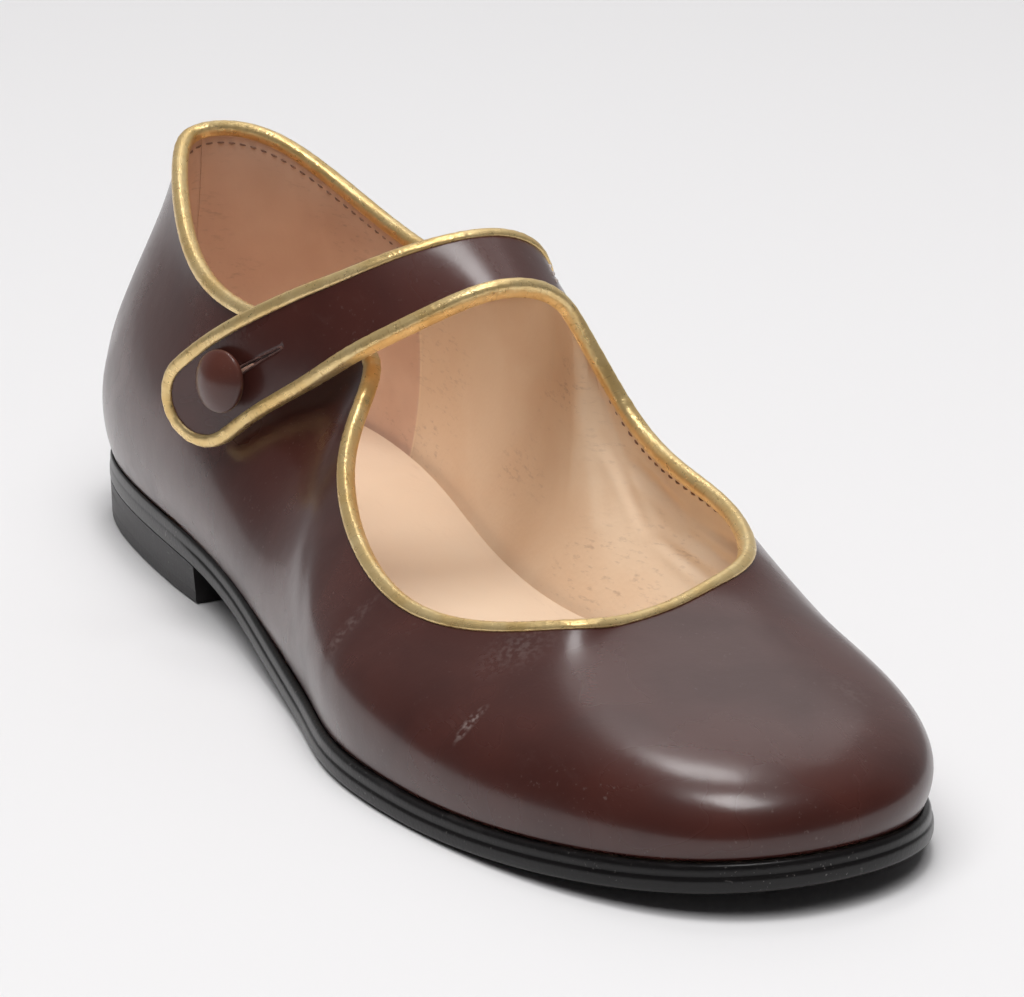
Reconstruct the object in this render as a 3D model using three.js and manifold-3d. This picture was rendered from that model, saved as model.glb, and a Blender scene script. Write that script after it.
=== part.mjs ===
// A right mary jane shoe in leather: low heel, thin sole, one hollow upper bound in gold,
// and a bound strap that buttons on the outer side. Millimetres, +X to the toe, +Y to the
// inner side of the foot, +Z up. The shoe stands on its heel and on its tread at z = 0.
import * as THREE from 'three';
import { mergeVertices } from 'three/addons/utils/BufferGeometryUtils.js';
import Module from 'manifold-3d';

// Driving sizes of the last and of the shoe's height
const LAST_LENGTH = 240;
const BALL_WIDTH = 80;
const QUARTER_HEIGHT = 58;
const HEEL_HEIGHT = 7.3;
const TOE_SPRING = 4.6;

// Sole
const SOLE_THICKNESS = 4.8;
const SOLE_MARGIN_FRONT = 1.7;
const SOLE_MARGIN_HEEL = 0.6;
const SOLE_STEP = 0.5;
const EDGE_BEVEL = 0.7;
const BREAST_X = 64;
const SEAT_FLAT = 51;
const TREAD_START_X = 142;
const TREAD_END_X = 178;
const SPRING_POWER = 1.6;
const HEEL_TAPER = 0.9;
const INSOLE_THICKNESS = 2.5;

// Upper, binding, strap and button
const UPPER_WALL = 1.8;
const BINDING_THICKNESS = 0.6;
const BINDING_COVER = 1.3;
const STRAP_WIDTH = 17.5;
const STRAP_THICKNESS = 2.2;
const BUTTON_RADIUS = 5.5;
const BUTTON_HEIGHT = 3.2;
const BUTTON_RIM = 1;
const SHANK_RADIUS = 1.5;
const BUTTONHOLE_LENGTH = 14;
const BUTTONHOLE_WIDTH = 1.4;
const CLEARANCE = 0.3;

// Facets
const STEPS_PER_ROW = 5;
const WALL_STEPS = 10;
const SOLE_STEPS = 36;
const STRAP_STEPS = 26;
const STRAP_CROWDING = 1.4;
const TIP_STEPS = 7;
const TIP_REACH = 0.99;
const BUTTON_SIDES = 24;
const BUTTON_STEPS = 6;
const FOLD_STEPS = 4;

// Colours from the leather, lining, binding and sole
const MATERIALS = {
  upper: { color: 0x3a2220, roughness: 0.28, metalness: 0 },
  binding: { color: 0xc9a052, roughness: 0.34, metalness: 0.75 },
  insole: { color: 0xe0bd9c, roughness: 0.6, metalness: 0 },
  outsole: { color: 0x151313, roughness: 0.4, metalness: 0 },
  heel: { color: 0x2b282a, roughness: 0.45, metalness: 0 },
};

// Rows round the upper. foot x and top x are shares of LAST_LENGTH, foot y and top y of
// BALL_WIDTH, rise (height of the top line over the sole) of QUARTER_HEIGHT. swell out and
// lean out (shares of BALL_WIDTH) and swell up and lean down (shares of QUARTER_HEIGHT)
// bow the wall between its foot and its top. The strap's seat sets the top of both ear rows.
const ROW_COLUMNS = ['footX', 'footY', 'topX', 'topY', 'rise', 'swellOut', 'swellUp', 'leanOut', 'leanDown'];
const UPPER_ROWS = [
  ['ear back', 0.402, 0.211, null, null, null, 0.1, 0.345, 0.08, 0.15],
  ['collar inner', 0.326, 0.243, 0.313, 0.322, 0.764, 0.088, 0.31, 0.026, 0.205],
  ['heel inner', 0.142, 0.314, 0.163, 0.284, 0.792, 0.05, 0.31, 0.013, 0.24],
  ['heel inner back', 0.033, 0.226, 0.063, 0.152, 0.985, 0.06, 0.36, 0.013, 0.24],
  ['heel back', 0, 0, 0.016, 0.005, 1, 0.07, 0.36, 0.03, 0.24],
  ['heel outer back', 0.018, -0.219, 0.063, -0.115, 0.935, 0.085, 0.34, 0.045, 0.25],
  ['heel outer', 0.142, -0.329, 0.175, -0.225, 0.757, 0.075, 0.29, 0.045, 0.24],
  ['quarter outer', 0.308, -0.373, 0.3, -0.21, 0.724, 0.08, 0.275, 0.055, 0.205],
  ['waist outer', 0.417, -0.416, 0.4, -0.13, 0.753, 0.08, 0.26, 0.055, 0.2],
  ['throat outer', 0.545, -0.489, 0.465, -0.285, 0.565, 0.06, 0.26, 0.074, 0.174],
  ['ball outer', 0.655, -0.555, 0.632, -0.395, 0.4, 0.03, 0.24, 0.118, 0.128],
  ['toe outer', 0.822, -0.5, 0.742, -0.24, 0.435, 0.025, 0.21, 0.205, 0.136],
  ['tip outer', 0.96, -0.296, 0.757, -0.115, 0.437, 0.04, 0.2, 0.36, 0.14],
  ['tip', 0.994, 0, 0.744, 0.03, 0.435, 0.06, 0.25, 0.415, 0.145],
  ['tip inner', 0.955, 0.243, 0.725, 0.165, 0.45, 0.085, 0.24, 0.325, 0.17],
  ['toe inner', 0.855, 0.374, 0.69, 0.31, 0.467, 0.055, 0.2, 0.15, 0.2],
  ['ball inner', 0.72, 0.425, 0.617, 0.389, 0.503, 0.038, 0.245, 0.089, 0.19],
  ['waist inner', 0.616, 0.355, 0.552, 0.3785, 0.55, 0.055, 0.258, 0.075, 0.192],
  ['throat inner', 0.537, 0.248, 0.486, 0.364, 0.647, 0.071, 0.27, 0.061, 0.195],
  ['ear front', 0.464, 0.207, null, null, null, 0.098, 0.31, 0.08, 0.13],
];

// Levels of the outsole's edge from its tread to its top: how many bevels and steps each
// stands in from the widest outline, and its height as a share of SOLE_THICKNESS.
const EDGE_COLUMNS = ['bevels', 'steps', 'height'];
const EDGE_ROWS = [
  ['tread', 1, 0, 0],
  ['low edge', 0, 0, 0.15],
  ['step foot', 0, 0, 0.52],
  ['step top', 0, 1, 0.6],
  ['high edge', 0, 1.2, 0.88],
  ['feather', 1, 1, 1],
];

// Rows along the strap from the ear over the instep: x as a share of LAST_LENGTH, y of
// BALL_WIDTH and rise of QUARTER_HEIGHT, then how many degrees its face turns to the inner
// side (turn) and to the toe (lean). The last rows lie on the outer quarter instead.
const STRAP_COLUMNS = ['x', 'y', 'rise', 'turn', 'lean'];
const STRAP_ROWS = [
  ['ear', 0.43, 0.277, 0.925, 68, 16],
  ['inner bend', 0.431, 0.2375, 0.989, 30, 23],
  ['crest', 0.4316, 0.15, 1.029, -5, 21],
  ['instep', 0.4263, 0.018, 1.008, -28, 19],
  ['outer bend', 0.4045, -0.148, 0.8985, -30, 30],
];

// Where the strap lies on the outer quarter: place along the upper's rows, counted from
// the ear, height on the wall from foot (0) to top line (1), how far the strap bows off
// the wall as a share of QUARTER_HEIGHT, and the turn and lean of its face.
const REST_COLUMNS = ['row', 'height', 'bow', 'turn', 'lean'];
const STRAP_RESTS = [
  ['over the collar', 7.485, 0.881, 0.0744, -88, 11],
  ['button', 7.175, 0.691, 0.0767, -99, 18],
  ['end', 6.874, 0.482, 0.0616, -89, 27],
];
const BUTTON_REST = 1;

// How strongly the wall's bow under its top line is pulled from square to the line to plumb
const PLUMB_PULL = 0.6;

const table = (columns, rows) =>
  rows.map((row) => Object.fromEntries(columns.map((name, k) => [name, row[k + 1]])));
const upperRows = table(ROW_COLUMNS, UPPER_ROWS);
const strapRows = table(STRAP_COLUMNS, STRAP_ROWS);
const strapRests = table(REST_COLUMNS, STRAP_RESTS);
const edgeLevels = table(EDGE_COLUMNS, EDGE_ROWS);
const EAR_FRONT = upperRows.length - 1;

// Smooth curves

/** Natural cubic spline through values at 0, 1, 2, ... */
function spline(values) {
  const last = values.length - 1;
  const bend = new Array(last + 1).fill(0);
  const upper = new Array(last + 1).fill(0);
  for (let k = 1; k < last; k += 1) {
    const pull = 6 * (values[k + 1] - 2 * values[k] + values[k - 1]);
    const pivot = 4 - upper[k - 1];
    upper[k] = 1 / pivot;
    bend[k] = (pull - bend[k - 1]) / pivot;
  }
  for (let k = last - 1; k > 0; k -= 1) {
    bend[k] -= upper[k] * bend[k + 1];
  }
  return (u) => {
    const k = Math.min(Math.max(Math.floor(u), 0), last - 1);
    const t = u - k;
    const s = 1 - t;
    return s * values[k] + t * values[k + 1]
      + ((s ** 3 - s) * bend[k] + (t ** 3 - t) * bend[k + 1]) / 6;
  };
}

/** The same spline closed on itself, by running it past both ends of the loop. */
function closedSpline(values) {
  const count = values.length;
  const wrapped = [...values, ...values, ...values];
  const curve = spline(wrapped);
  return (u) => curve(((u % count) + count) % count + count);
}

/** Spline through Vector3 points. */
function pointSpline(points) {
  const curves = ['x', 'y', 'z'].map((axis) => spline(points.map((point) => point[axis])));
  return (u) => new THREE.Vector3(...curves.map((curve) => curve(u)));
}

const ease = (t) => THREE.MathUtils.smoothstep(t, 0, 1);

// Sole: its bottom stands on the tread and is lifted by the heel, the arch and the toe spring

/** Height of the outsole's bottom over the floor. */
function soleBottom(x) {
  const arch = HEEL_HEIGHT * (1 - ease((x - SEAT_FLAT) / (TREAD_START_X - SEAT_FLAT)));
  const run = Math.max((x - TREAD_END_X) / (LAST_LENGTH - TREAD_END_X), 0);
  return arch + TOE_SPRING * run ** SPRING_POWER;
}

const soleTop = (x) => soleBottom(x) + SOLE_THICKNESS;

const footX = closedSpline(upperRows.map((row) => row.footX * LAST_LENGTH));
const footY = closedSpline(upperRows.map((row) => row.footY * BALL_WIDTH));

/** Unit normal of the last's bottom outline, in plan and pointing out. */
function footNormal(u) {
  const step = 1e-3;
  const dx = footX(u + step) - footX(u - step);
  const dy = footY(u + step) - footY(u - step);
  return new THREE.Vector3(dy, -dx, 0).normalize();
}

/** Margin of the sole beyond the last: close at the heel and waist, wider in front. */
const soleMargin = (x) =>
  SOLE_MARGIN_HEEL + (SOLE_MARGIN_FRONT - SOLE_MARGIN_HEEL) * ease((x - BREAST_X) / BREAST_X);

/** Outline grown by grow(x): its inner and outer edge as lists of points, both heel to toe. */
function outlineSides(grow) {
  const samples = 1440;
  const loop = [];
  for (let k = 0; k < samples; k += 1) {
    const u = (upperRows.length * k) / samples;
    const x = footX(u);
    const normal = footNormal(u);
    loop.push([x + normal.x * grow(x), footY(u) + normal.y * grow(x)]);
  }
  const heel = loop.reduce((best, point, k) => (point[0] < loop[best][0] ? k : best), 0);
  const turned = [...loop.slice(heel), ...loop.slice(0, heel + 1)];
  const toe = turned.reduce((best, point, k) => (point[0] > turned[best][0] ? k : best), 0);
  return { outer: turned.slice(0, toe + 1), inner: turned.slice(toe).reverse() };
}

/** y of one edge at x. */
function edgeAt(edge, x) {
  const k = Math.max(edge.findIndex((point) => point[0] >= x), 1);
  const [x0, y0] = edge[k - 1];
  const [x1, y1] = edge[k];
  return THREE.MathUtils.lerp(y0, y1, (x - x0) / Math.max(x1 - x0, 1e-9));
}

/**
 * Closed slab with the sole's outline. Each level has grow(x), how far it stands out from
 * the last, and height(x). With endX the slab stops there in a straight edge.
 */
function slab(levels, endX = null) {
  const positions = [];
  const indices = [];
  const rings = levels.map(({ grow, height }) => {
    const { outer, inner } = outlineSides(grow);
    const start = outer[0][0];
    const end = endX ?? outer.at(-1)[0];
    const turn = endX === null ? Math.PI : Math.PI / 2;
    const span = (end - start) / (1 - Math.cos(turn));
    const add = (x, y) => {
      positions.push(x, y, height(x));
      return positions.length / 3 - 1;
    };
    const pairs = [];
    for (let j = 0; j <= SOLE_STEPS; j += 1) {
      const x = start + span * (1 - Math.cos((turn * j) / SOLE_STEPS));
      const round = j === 0 || (j === SOLE_STEPS && endX === null);
      const outside = add(x, edgeAt(outer, x));
      pairs.push([outside, round ? outside : add(x, edgeAt(inner, x))]);
    }
    return pairs;
  });
  const quad = (a, b, c, d) => indices.push(a, b, c, a, c, d);
  for (let k = 1; k < rings.length; k += 1) {
    for (let j = 0; j < SOLE_STEPS; j += 1) {
      quad(rings[k - 1][j][0], rings[k - 1][j + 1][0], rings[k][j + 1][0], rings[k][j][0]);
      quad(rings[k - 1][j + 1][1], rings[k - 1][j][1], rings[k][j][1], rings[k][j + 1][1]);
    }
    const [low, high] = [rings[k - 1][SOLE_STEPS], rings[k][SOLE_STEPS]];
    quad(low[0], low[1], high[1], high[0]);
  }
  const [bottom, top] = [rings[0], rings.at(-1)];
  for (let j = 0; j < SOLE_STEPS; j += 1) {
    quad(bottom[j][0], bottom[j][1], bottom[j + 1][1], bottom[j + 1][0]);
    quad(top[j][0], top[j + 1][0], top[j + 1][1], top[j][1]);
  }
  return solid(positions, indices);
}

/** Geometry of a closed body from positions and triangles, without its collapsed triangles. */
function solid(positions, indices) {
  const geometry = new THREE.BufferGeometry();
  geometry.setAttribute('position', new THREE.Float32BufferAttribute(positions, 3));
  geometry.setIndex(indices);
  const merged = mergeVertices(geometry, 1e-4);
  const index = merged.index.array;
  const kept = [];
  for (let k = 0; k < index.length; k += 3) {
    const [a, b, c] = [index[k], index[k + 1], index[k + 2]];
    if (a !== b && b !== c && c !== a) {
      kept.push(a, b, c);
    }
  }
  merged.setIndex(kept);
  merged.computeVertexNormals();
  return merged;
}

function outsoleGeometry() {
  return slab(edgeLevels.map(({ bevels, steps, height }) => ({
    grow: (x) => soleMargin(x) - bevels * EDGE_BEVEL - steps * SOLE_STEP,
    height: (x) => soleBottom(x) + height * SOLE_THICKNESS,
  })));
}

function heelGeometry() {
  const inset = (amount) => (x) => soleMargin(x) - amount;
  return slab([
    { grow: inset(HEEL_TAPER + EDGE_BEVEL), height: () => 0 },
    { grow: inset(HEEL_TAPER), height: () => EDGE_BEVEL },
    { grow: inset(EDGE_BEVEL / 2), height: (x) => soleBottom(x) - CLEARANCE },
  ], BREAST_X);
}

function insoleGeometry() {
  const grow = () => -(UPPER_WALL + 2 * CLEARANCE);
  return slab([
    { grow, height: (x) => soleTop(x) + CLEARANCE },
    { grow, height: (x) => soleTop(x) + CLEARANCE + INSOLE_THICKNESS },
  ]);
}

// Wall of the upper between its foot on the sole and its top line

const swellOut = closedSpline(upperRows.map((row) => row.swellOut * BALL_WIDTH));
const swellUp = closedSpline(upperRows.map((row) => row.swellUp * QUARTER_HEIGHT));
const leanOut = closedSpline(upperRows.map((row) => row.leanOut * BALL_WIDTH));
const leanDown = closedSpline(upperRows.map((row) => row.leanDown * QUARTER_HEIGHT));
const UP = new THREE.Vector3(0, 0, 1);

/** Point at x and y, raised over the sole by a share of QUARTER_HEIGHT. */
const raised = (x, y, rise) =>
  new THREE.Vector3(x * LAST_LENGTH, y * BALL_WIDTH, soleTop(x * LAST_LENGTH) + rise * QUARTER_HEIGHT);

/**
 * Way down the wall from its top line: square to the line, pulled toward plumb. The line's
 * way is taken over half a row each way, so the wall turns gently at the ear's corners.
 */
function wallDown(topLine, u, normal) {
  const along = topLine(u + 0.5).sub(topLine(u - 0.5)).normalize();
  return along.cross(normal).normalize().addScaledVector(UP, -PLUMB_PULL).normalize();
}

/** Outer face of the wall for one top line: row u round the shoe, height w from 0 to 1. */
function wallPoint(topLine, u, w) {
  const normal = footNormal(u);
  const x = footX(u);
  const foot = new THREE.Vector3(x, footY(u), soleTop(x) + CLEARANCE);
  const top = topLine(u);
  const low = foot.clone().addScaledVector(normal, swellOut(u)).addScaledVector(UP, swellUp(u));
  const down = wallDown(topLine, u, normal);
  const high = top.clone().addScaledVector(normal, leanOut(u)).addScaledVector(down, leanDown(u));
  const v = 1 - w;
  return foot.multiplyScalar(v ** 3)
    .addScaledVector(low, 3 * v * v * w)
    .addScaledVector(high, 3 * v * w * w)
    .addScaledVector(top, w ** 3);
}

/** Unit normal of the wall's outer face. */
function wallNormal(topLine, u, w) {
  const step = 1e-3;
  const along = wallPoint(topLine, u + step, w).sub(wallPoint(topLine, u - step, w));
  const rise = wallPoint(topLine, u, w + step).sub(wallPoint(topLine, u, w - step));
  return along.cross(rise).normalize();
}

const openRows = upperRows.slice(1, EAR_FRONT);
const openPoints = openRows.map((row) => raised(row.topX, row.topY, row.rise));

// The outer quarter doesn't depend on the ears, so the strap can lie on it first
const openLine = pointSpline(openPoints);
const quarterLine = (u) => openLine(u - 1);

// Strap: a band from the inner ear to its round end on the outer quarter

const bindingProud = CLEARANCE + BINDING_THICKNESS;
const strapCore = STRAP_WIDTH / 2 - bindingProud;
const standOff = (rest) =>
  2 * bindingProud + CLEARANCE + STRAP_THICKNESS / 2 + rest.bow * QUARTER_HEIGHT;

function strapFrames() {
  const points = strapRows.map((row) => raised(row.x, row.y, row.rise));
  for (const rest of strapRests) {
    const normal = wallNormal(quarterLine, rest.row, rest.height);
    const seat = wallPoint(quarterLine, rest.row, rest.height);
    points.push(seat.addScaledVector(normal, standOff(rest)));
  }
  const faces = [...strapRows, ...strapRests].map((row) => {
    const [turn, lean] = [row.turn, row.lean].map(THREE.MathUtils.degToRad);
    return new THREE.Vector3(
      Math.sin(lean),
      Math.cos(lean) * Math.sin(turn),
      Math.cos(lean) * Math.cos(turn),
    );
  });
  const path = pointSpline(points);
  const facing = pointSpline(faces);
  return (u) => {
    const step = 1e-3;
    const ahead = path(u + step).sub(path(u - step)).normalize();
    const across = facing(u).cross(ahead).normalize();
    return { point: path(u), ahead, across, out: ahead.clone().cross(across) };
  };
}

const strapAt = strapFrames();
const strapEnd = strapRows.length + strapRests.length - 1;

/** Strap frame at a length along the band, from a table of the lengths at each place. */
function strapLengths() {
  const samples = 400;
  const lengths = [0];
  for (let k = 1; k <= samples; k += 1) {
    const here = strapAt((strapEnd * k) / samples).point;
    const before = strapAt((strapEnd * (k - 1)) / samples).point;
    lengths.push(lengths[k - 1] + here.distanceTo(before));
  }
  const place = (length) => {
    const k = Math.max(lengths.findIndex((reach) => reach >= length), 1);
    const t = (length - lengths[k - 1]) / (lengths[k] - lengths[k - 1]);
    return (strapEnd * (k - 1 + t)) / samples;
  };
  return { total: lengths[samples], place, lengths, samples };
}

const strapLine = strapLengths();
const strapFrame = (length) =>
  strapAt(length < strapLine.total ? strapLine.place(Math.max(length, 0)) : strapEnd);
const buttonPlace = strapRows.length + BUTTON_REST;
const buttonLength = strapLine.lengths[Math.round((strapLine.samples * buttonPlace) / strapEnd)];

/** Point of the strap: length along it, share across it and height over its middle. */
function strapPoint(length, across, height) {
  const frame = strapFrame(length);
  return frame.point.addScaledVector(frame.across, across).addScaledVector(frame.out, height);
}

/** Half the leather's width at a length: parallel, then a half circle at the end. */
function strapHalfWidth(length) {
  const centre = strapLine.total - strapCore;
  const into = Math.max(length - centre, 0);
  return Math.sqrt(Math.max(strapCore ** 2 - into ** 2, 0));
}

/** Closed body from rings of points, with flat ends closed by the section's triangles. */
function loft(rings, section) {
  const count = section.length;
  const positions = rings.flat().flatMap((point) => point.toArray());
  const indices = [];
  for (let k = 1; k < rings.length; k += 1) {
    for (let j = 0; j < count; j += 1) {
      const next = (j + 1) % count;
      const [a, b] = [(k - 1) * count + j, (k - 1) * count + next];
      const [c, d] = [k * count + next, k * count + j];
      indices.push(a, b, c, a, c, d);
    }
  }
  const caps = THREE.ShapeUtils.triangulateShape(section.map(([a, b]) => new THREE.Vector2(a, b)), []);
  const last = (rings.length - 1) * count;
  for (const [a, b, c] of caps) {
    indices.push(a, c, b, last + a, last + b, last + c);
  }
  return solid(positions, indices);
}

/** Lengths along the strap: closest at its bent base and round its end. */
function strapStations() {
  const centre = strapLine.total - strapCore;
  const stations = [];
  for (let k = 0; k <= STRAP_STEPS; k += 1) {
    stations.push(centre * (k / STRAP_STEPS) ** STRAP_CROWDING);
  }
  for (let k = 1; k <= TIP_STEPS; k += 1) {
    stations.push(centre + strapCore * Math.sin((Math.asin(TIP_REACH) * k) / TIP_STEPS));
  }
  return stations;
}

function strapGeometry() {
  const half = STRAP_THICKNESS / 2;
  const shares = [-1, -1 + BINDING_COVER / strapCore, 1 - BINDING_COVER / strapCore, 1];
  const under = shares.map((share) => [share, -half]);
  const over = shares.map((share) => [share, half]).reverse();
  const section = [...under, ...over];
  const rings = strapStations().map((length) => {
    const width = strapHalfWidth(length);
    return section.map(([share, height]) => strapPoint(length, share * width, height));
  });
  return loft(rings, section);
}

// Top line: from the ear's back corner round the heel and the throat to its front corner

/** Corner of the ear under the strap's start: side -1 at the back, 1 in front. */
function earCorner(side) {
  const frame = strapFrame(0);
  return frame.point.addScaledVector(frame.ahead, -CLEARANCE)
    .addScaledVector(frame.across, side * strapCore)
    .addScaledVector(frame.out, UPPER_WALL / 2);
}

const earBack = earCorner(-1);
const earFront = earCorner(1);
const strapEdge = (side) => strapPoint(STRAP_WIDTH / 2, side * strapCore, UPPER_WALL / 2);
const rimLine = pointSpline([strapEdge(-1), earBack, ...openPoints, earFront, strapEdge(1)]);

/** Top line of the upper: the bound rim, then the ear's straight edge under the strap. */
function topLine(u) {
  const count = upperRows.length;
  const place = ((u % count) + count) % count;
  if (place <= EAR_FRONT) {
    return rimLine(place + 1);
  }
  return earFront.clone().lerp(earBack, place - EAR_FRONT);
}

/** Point on the wall's foot, a depth in from its outer face, just clear of the sole. */
function wallFoot(u, depth) {
  const normal = footNormal(u);
  const x = footX(u) - normal.x * depth;
  return new THREE.Vector3(x, footY(u) - normal.y * depth, soleTop(x) + CLEARANCE);
}

/**
 * Frame of the top line: its way along, the wall's last step as the way up, and its face,
 * which is the strap's own at the ear.
 */
function rimFrame(u) {
  const step = 1e-3;
  const along = rimLine(u + 1 + step).sub(rimLine(u + 1 - step)).normalize();
  const up = topLine(u).sub(wallPoint(topLine, u, 1 - 1 / WALL_STEPS));
  const onEar = u === 0 || u >= EAR_FRONT;
  const face = onEar ? strapFrame(0).out : along.clone().cross(up).normalize();
  const square = face.clone().cross(along);
  return { along, face, up: up.divideScalar(up.dot(square)) };
}

/** Upper, with both faces of its wall grown by an amount. */
function upperGeometry(grow = 0) {
  const positions = [];
  const indices = [];
  const stations = upperRows.length * STEPS_PER_ROW;
  const layer = WALL_STEPS + 1;
  for (let k = 0; k < stations; k += 1) {
    const u = k / STEPS_PER_ROW;
    const faces = [-grow, UPPER_WALL + grow].map((depth) => {
      const line = [wallFoot(u, depth)];
      for (let j = 1; j < WALL_STEPS; j += 1) {
        const w = j / WALL_STEPS;
        line.push(wallPoint(topLine, u, w).addScaledVector(wallNormal(topLine, u, w), -depth));
      }
      line.push(topLine(u).addScaledVector(rimFrame(u).face, -depth));
      return line;
    });
    positions.push(...[...faces[0], ...faces[1].reverse()].flatMap((point) => point.toArray()));
  }
  const ring = 2 * layer;
  for (let k = 0; k < stations; k += 1) {
    const [here, next] = [k * ring, ((k + 1) % stations) * ring];
    for (let j = 0; j < ring; j += 1) {
      const above = (j + 1) % ring;
      indices.push(here + j, next + j, next + above, here + j, next + above, here + above);
    }
  }
  return solid(positions, indices);
}

// Binding: a folded strip whose two legs straddle an edge

/** Section of the fold over an edge of the given thickness: a across it, b out from it. */
function foldSection(thickness) {
  const slot = thickness / 2 + CLEARANCE;
  const outside = slot + BINDING_THICKNESS;
  const section = [[outside, -BINDING_COVER]];
  for (let k = 0; k <= FOLD_STEPS; k += 1) {
    const angle = (Math.PI * k) / FOLD_STEPS;
    section.push([outside * Math.cos(angle), bindingProud * Math.sin(angle)]);
  }
  section.push([-outside, -BINDING_COVER], [-slot, -BINDING_COVER], [-slot, CLEARANCE]);
  section.push([slot, CLEARANCE], [slot, -BINDING_COVER]);
  return section;
}

/** Fold swept along edge frames, each with its point, face normal and way out of the edge. */
function foldGeometry(thickness, frames) {
  const section = foldSection(thickness);
  const rings = frames.map(({ point, face, out }) =>
    section.map(([a, b]) => point.clone().addScaledVector(face, a).addScaledVector(out, b)));
  return loft(rings, section);
}

function toplineBindingGeometry() {
  const frames = [];
  for (let k = 0; k <= EAR_FRONT * STEPS_PER_ROW; k += 1) {
    const u = k / STEPS_PER_ROW;
    const { along, face, up } = rimFrame(u);
    const point = topLine(u).addScaledVector(face, -UPPER_WALL / 2);
    if (u === 0 || u === EAR_FRONT) {
      point.addScaledVector(along, (u === 0 ? 2 : -2) * bindingProud);
    }
    frames.push({ point, face, out: up });
  }
  return foldGeometry(UPPER_WALL, frames.reverse());
}

function strapBindingGeometry() {
  const centre = strapLine.total - strapCore;
  const straight = strapStations().filter((length) => length < centre - 1e-6);
  straight[0] = bindingProud;
  const edge = (length, side) => {
    const frame = strapFrame(length);
    return {
      point: strapPoint(length, side * strapCore, 0),
      face: frame.out,
      out: frame.across.clone().multiplyScalar(side),
    };
  };
  const round = [];
  const turns = 2 * TIP_STEPS;
  for (let k = 0; k <= turns; k += 1) {
    const angle = (Math.PI * k) / turns - Math.PI / 2;
    const length = centre + strapCore * Math.cos(angle);
    const frame = strapFrame(length);
    round.push({
      point: strapPoint(length, strapCore * Math.sin(angle), 0),
      face: frame.out,
      out: frame.ahead.clone().multiplyScalar(Math.cos(angle)).addScaledVector(frame.across, Math.sin(angle)),
    });
  }
  const back = straight.map((length) => edge(length, -1));
  const front = straight.map((length) => edge(length, 1)).reverse();
  return foldGeometry(STRAP_THICKNESS, [...back, ...round, ...front]);
}

// Button: a domed, covered button on a shank that comes through the buttonhole

function buttonGeometry() {
  const frame = strapFrame(buttonLength);
  const foot = CLEARANCE - standOff(strapRests[BUTTON_REST]);
  const seat = STRAP_THICKNESS / 2 + bindingProud;
  const rim = seat + BUTTON_RIM;
  const profile = [
    new THREE.Vector2(0, foot),
    new THREE.Vector2(SHANK_RADIUS, foot),
    new THREE.Vector2(SHANK_RADIUS, seat),
    new THREE.Vector2(BUTTON_RADIUS - BUTTON_RIM, seat),
  ];
  for (let k = 0; k < BUTTON_STEPS; k += 1) {
    const angle = (Math.PI * k) / (2 * BUTTON_STEPS);
    const dome = (BUTTON_HEIGHT - BUTTON_RIM) * Math.sin(angle);
    profile.push(new THREE.Vector2(BUTTON_RADIUS * Math.cos(angle), rim + dome));
  }
  profile.push(new THREE.Vector2(0, seat + BUTTON_HEIGHT));
  const geometry = new THREE.LatheGeometry(profile, BUTTON_SIDES);
  geometry.rotateX(Math.PI / 2);
  geometry.applyMatrix4(frameMatrix(frame));
  return bare(geometry);
}

/** Matrix that carries x along the strap, y across it and z out of its face. */
function frameMatrix({ point, ahead, across, out }) {
  return new THREE.Matrix4().makeBasis(ahead, across, out).setPosition(point);
}

/** Geometry with merged positions only. */
function bare(geometry) {
  const plain = geometry.index ? geometry : mergeVertices(geometry);
  return solid([...plain.attributes.position.array], [...plain.index.array]);
}

// Cuts

const wasm = await Module();
wasm.setup();

function toManifold(geometry) {
  const mesh = new wasm.Mesh({
    numProp: 3,
    vertProperties: new Float32Array(geometry.attributes.position.array),
    triVerts: new Uint32Array(geometry.index.array),
  });
  return new wasm.Manifold(mesh);
}

function fromManifold(body) {
  const mesh = body.getMesh();
  return solid([...mesh.vertProperties], [...mesh.triVerts]);
}

/** Strap with its buttonhole: a round eye for the shank and a slit from it up the strap. */
function cutStrapGeometry() {
  const matrix = frameMatrix(strapFrame(buttonLength));
  const depth = 3 * STRAP_THICKNESS;
  const eye = new THREE.CylinderGeometry(SHANK_RADIUS + CLEARANCE, SHANK_RADIUS + CLEARANCE, depth, 16);
  eye.rotateX(Math.PI / 2);
  const slit = new THREE.BoxGeometry(BUTTONHOLE_LENGTH, BUTTONHOLE_WIDTH, depth);
  slit.translate(-BUTTONHOLE_LENGTH / 2, 0, 0);
  return [eye, slit]
    .map((cutter) => toManifold(bare(cutter.applyMatrix4(matrix))))
    .reduce((body, cutter) => body.subtract(cutter), toManifold(strapGeometry()));
}

/** Topline binding, cut back where the wall bends into its legs by the strap's ear. */
function cutBindingGeometry() {
  const wall = toManifold(upperGeometry(CLEARANCE / 2));
  const pieces = toManifold(toplineBindingGeometry()).subtract(wall).decompose();
  return fromManifold(pieces.reduce((best, piece) => (piece.volume() > best.volume() ? piece : best)));
}

function mesh(name, geometry, material) {
  const body = new THREE.Mesh(geometry, new THREE.MeshStandardMaterial(MATERIALS[material]));
  body.name = name;
  return body;
}

const group = new THREE.Group();
group.add(
  mesh('outsole', outsoleGeometry(), 'outsole'),
  mesh('heel', heelGeometry(), 'heel'),
  mesh('insole', insoleGeometry(), 'insole'),
  mesh('upper', upperGeometry(), 'upper'),
  mesh('topline_binding', cutBindingGeometry(), 'binding'),
  mesh('strap', fromManifold(cutStrapGeometry()), 'upper'),
  mesh('strap_binding', strapBindingGeometry(), 'binding'),
  mesh('button', buttonGeometry(), 'upper'),
);

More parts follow.
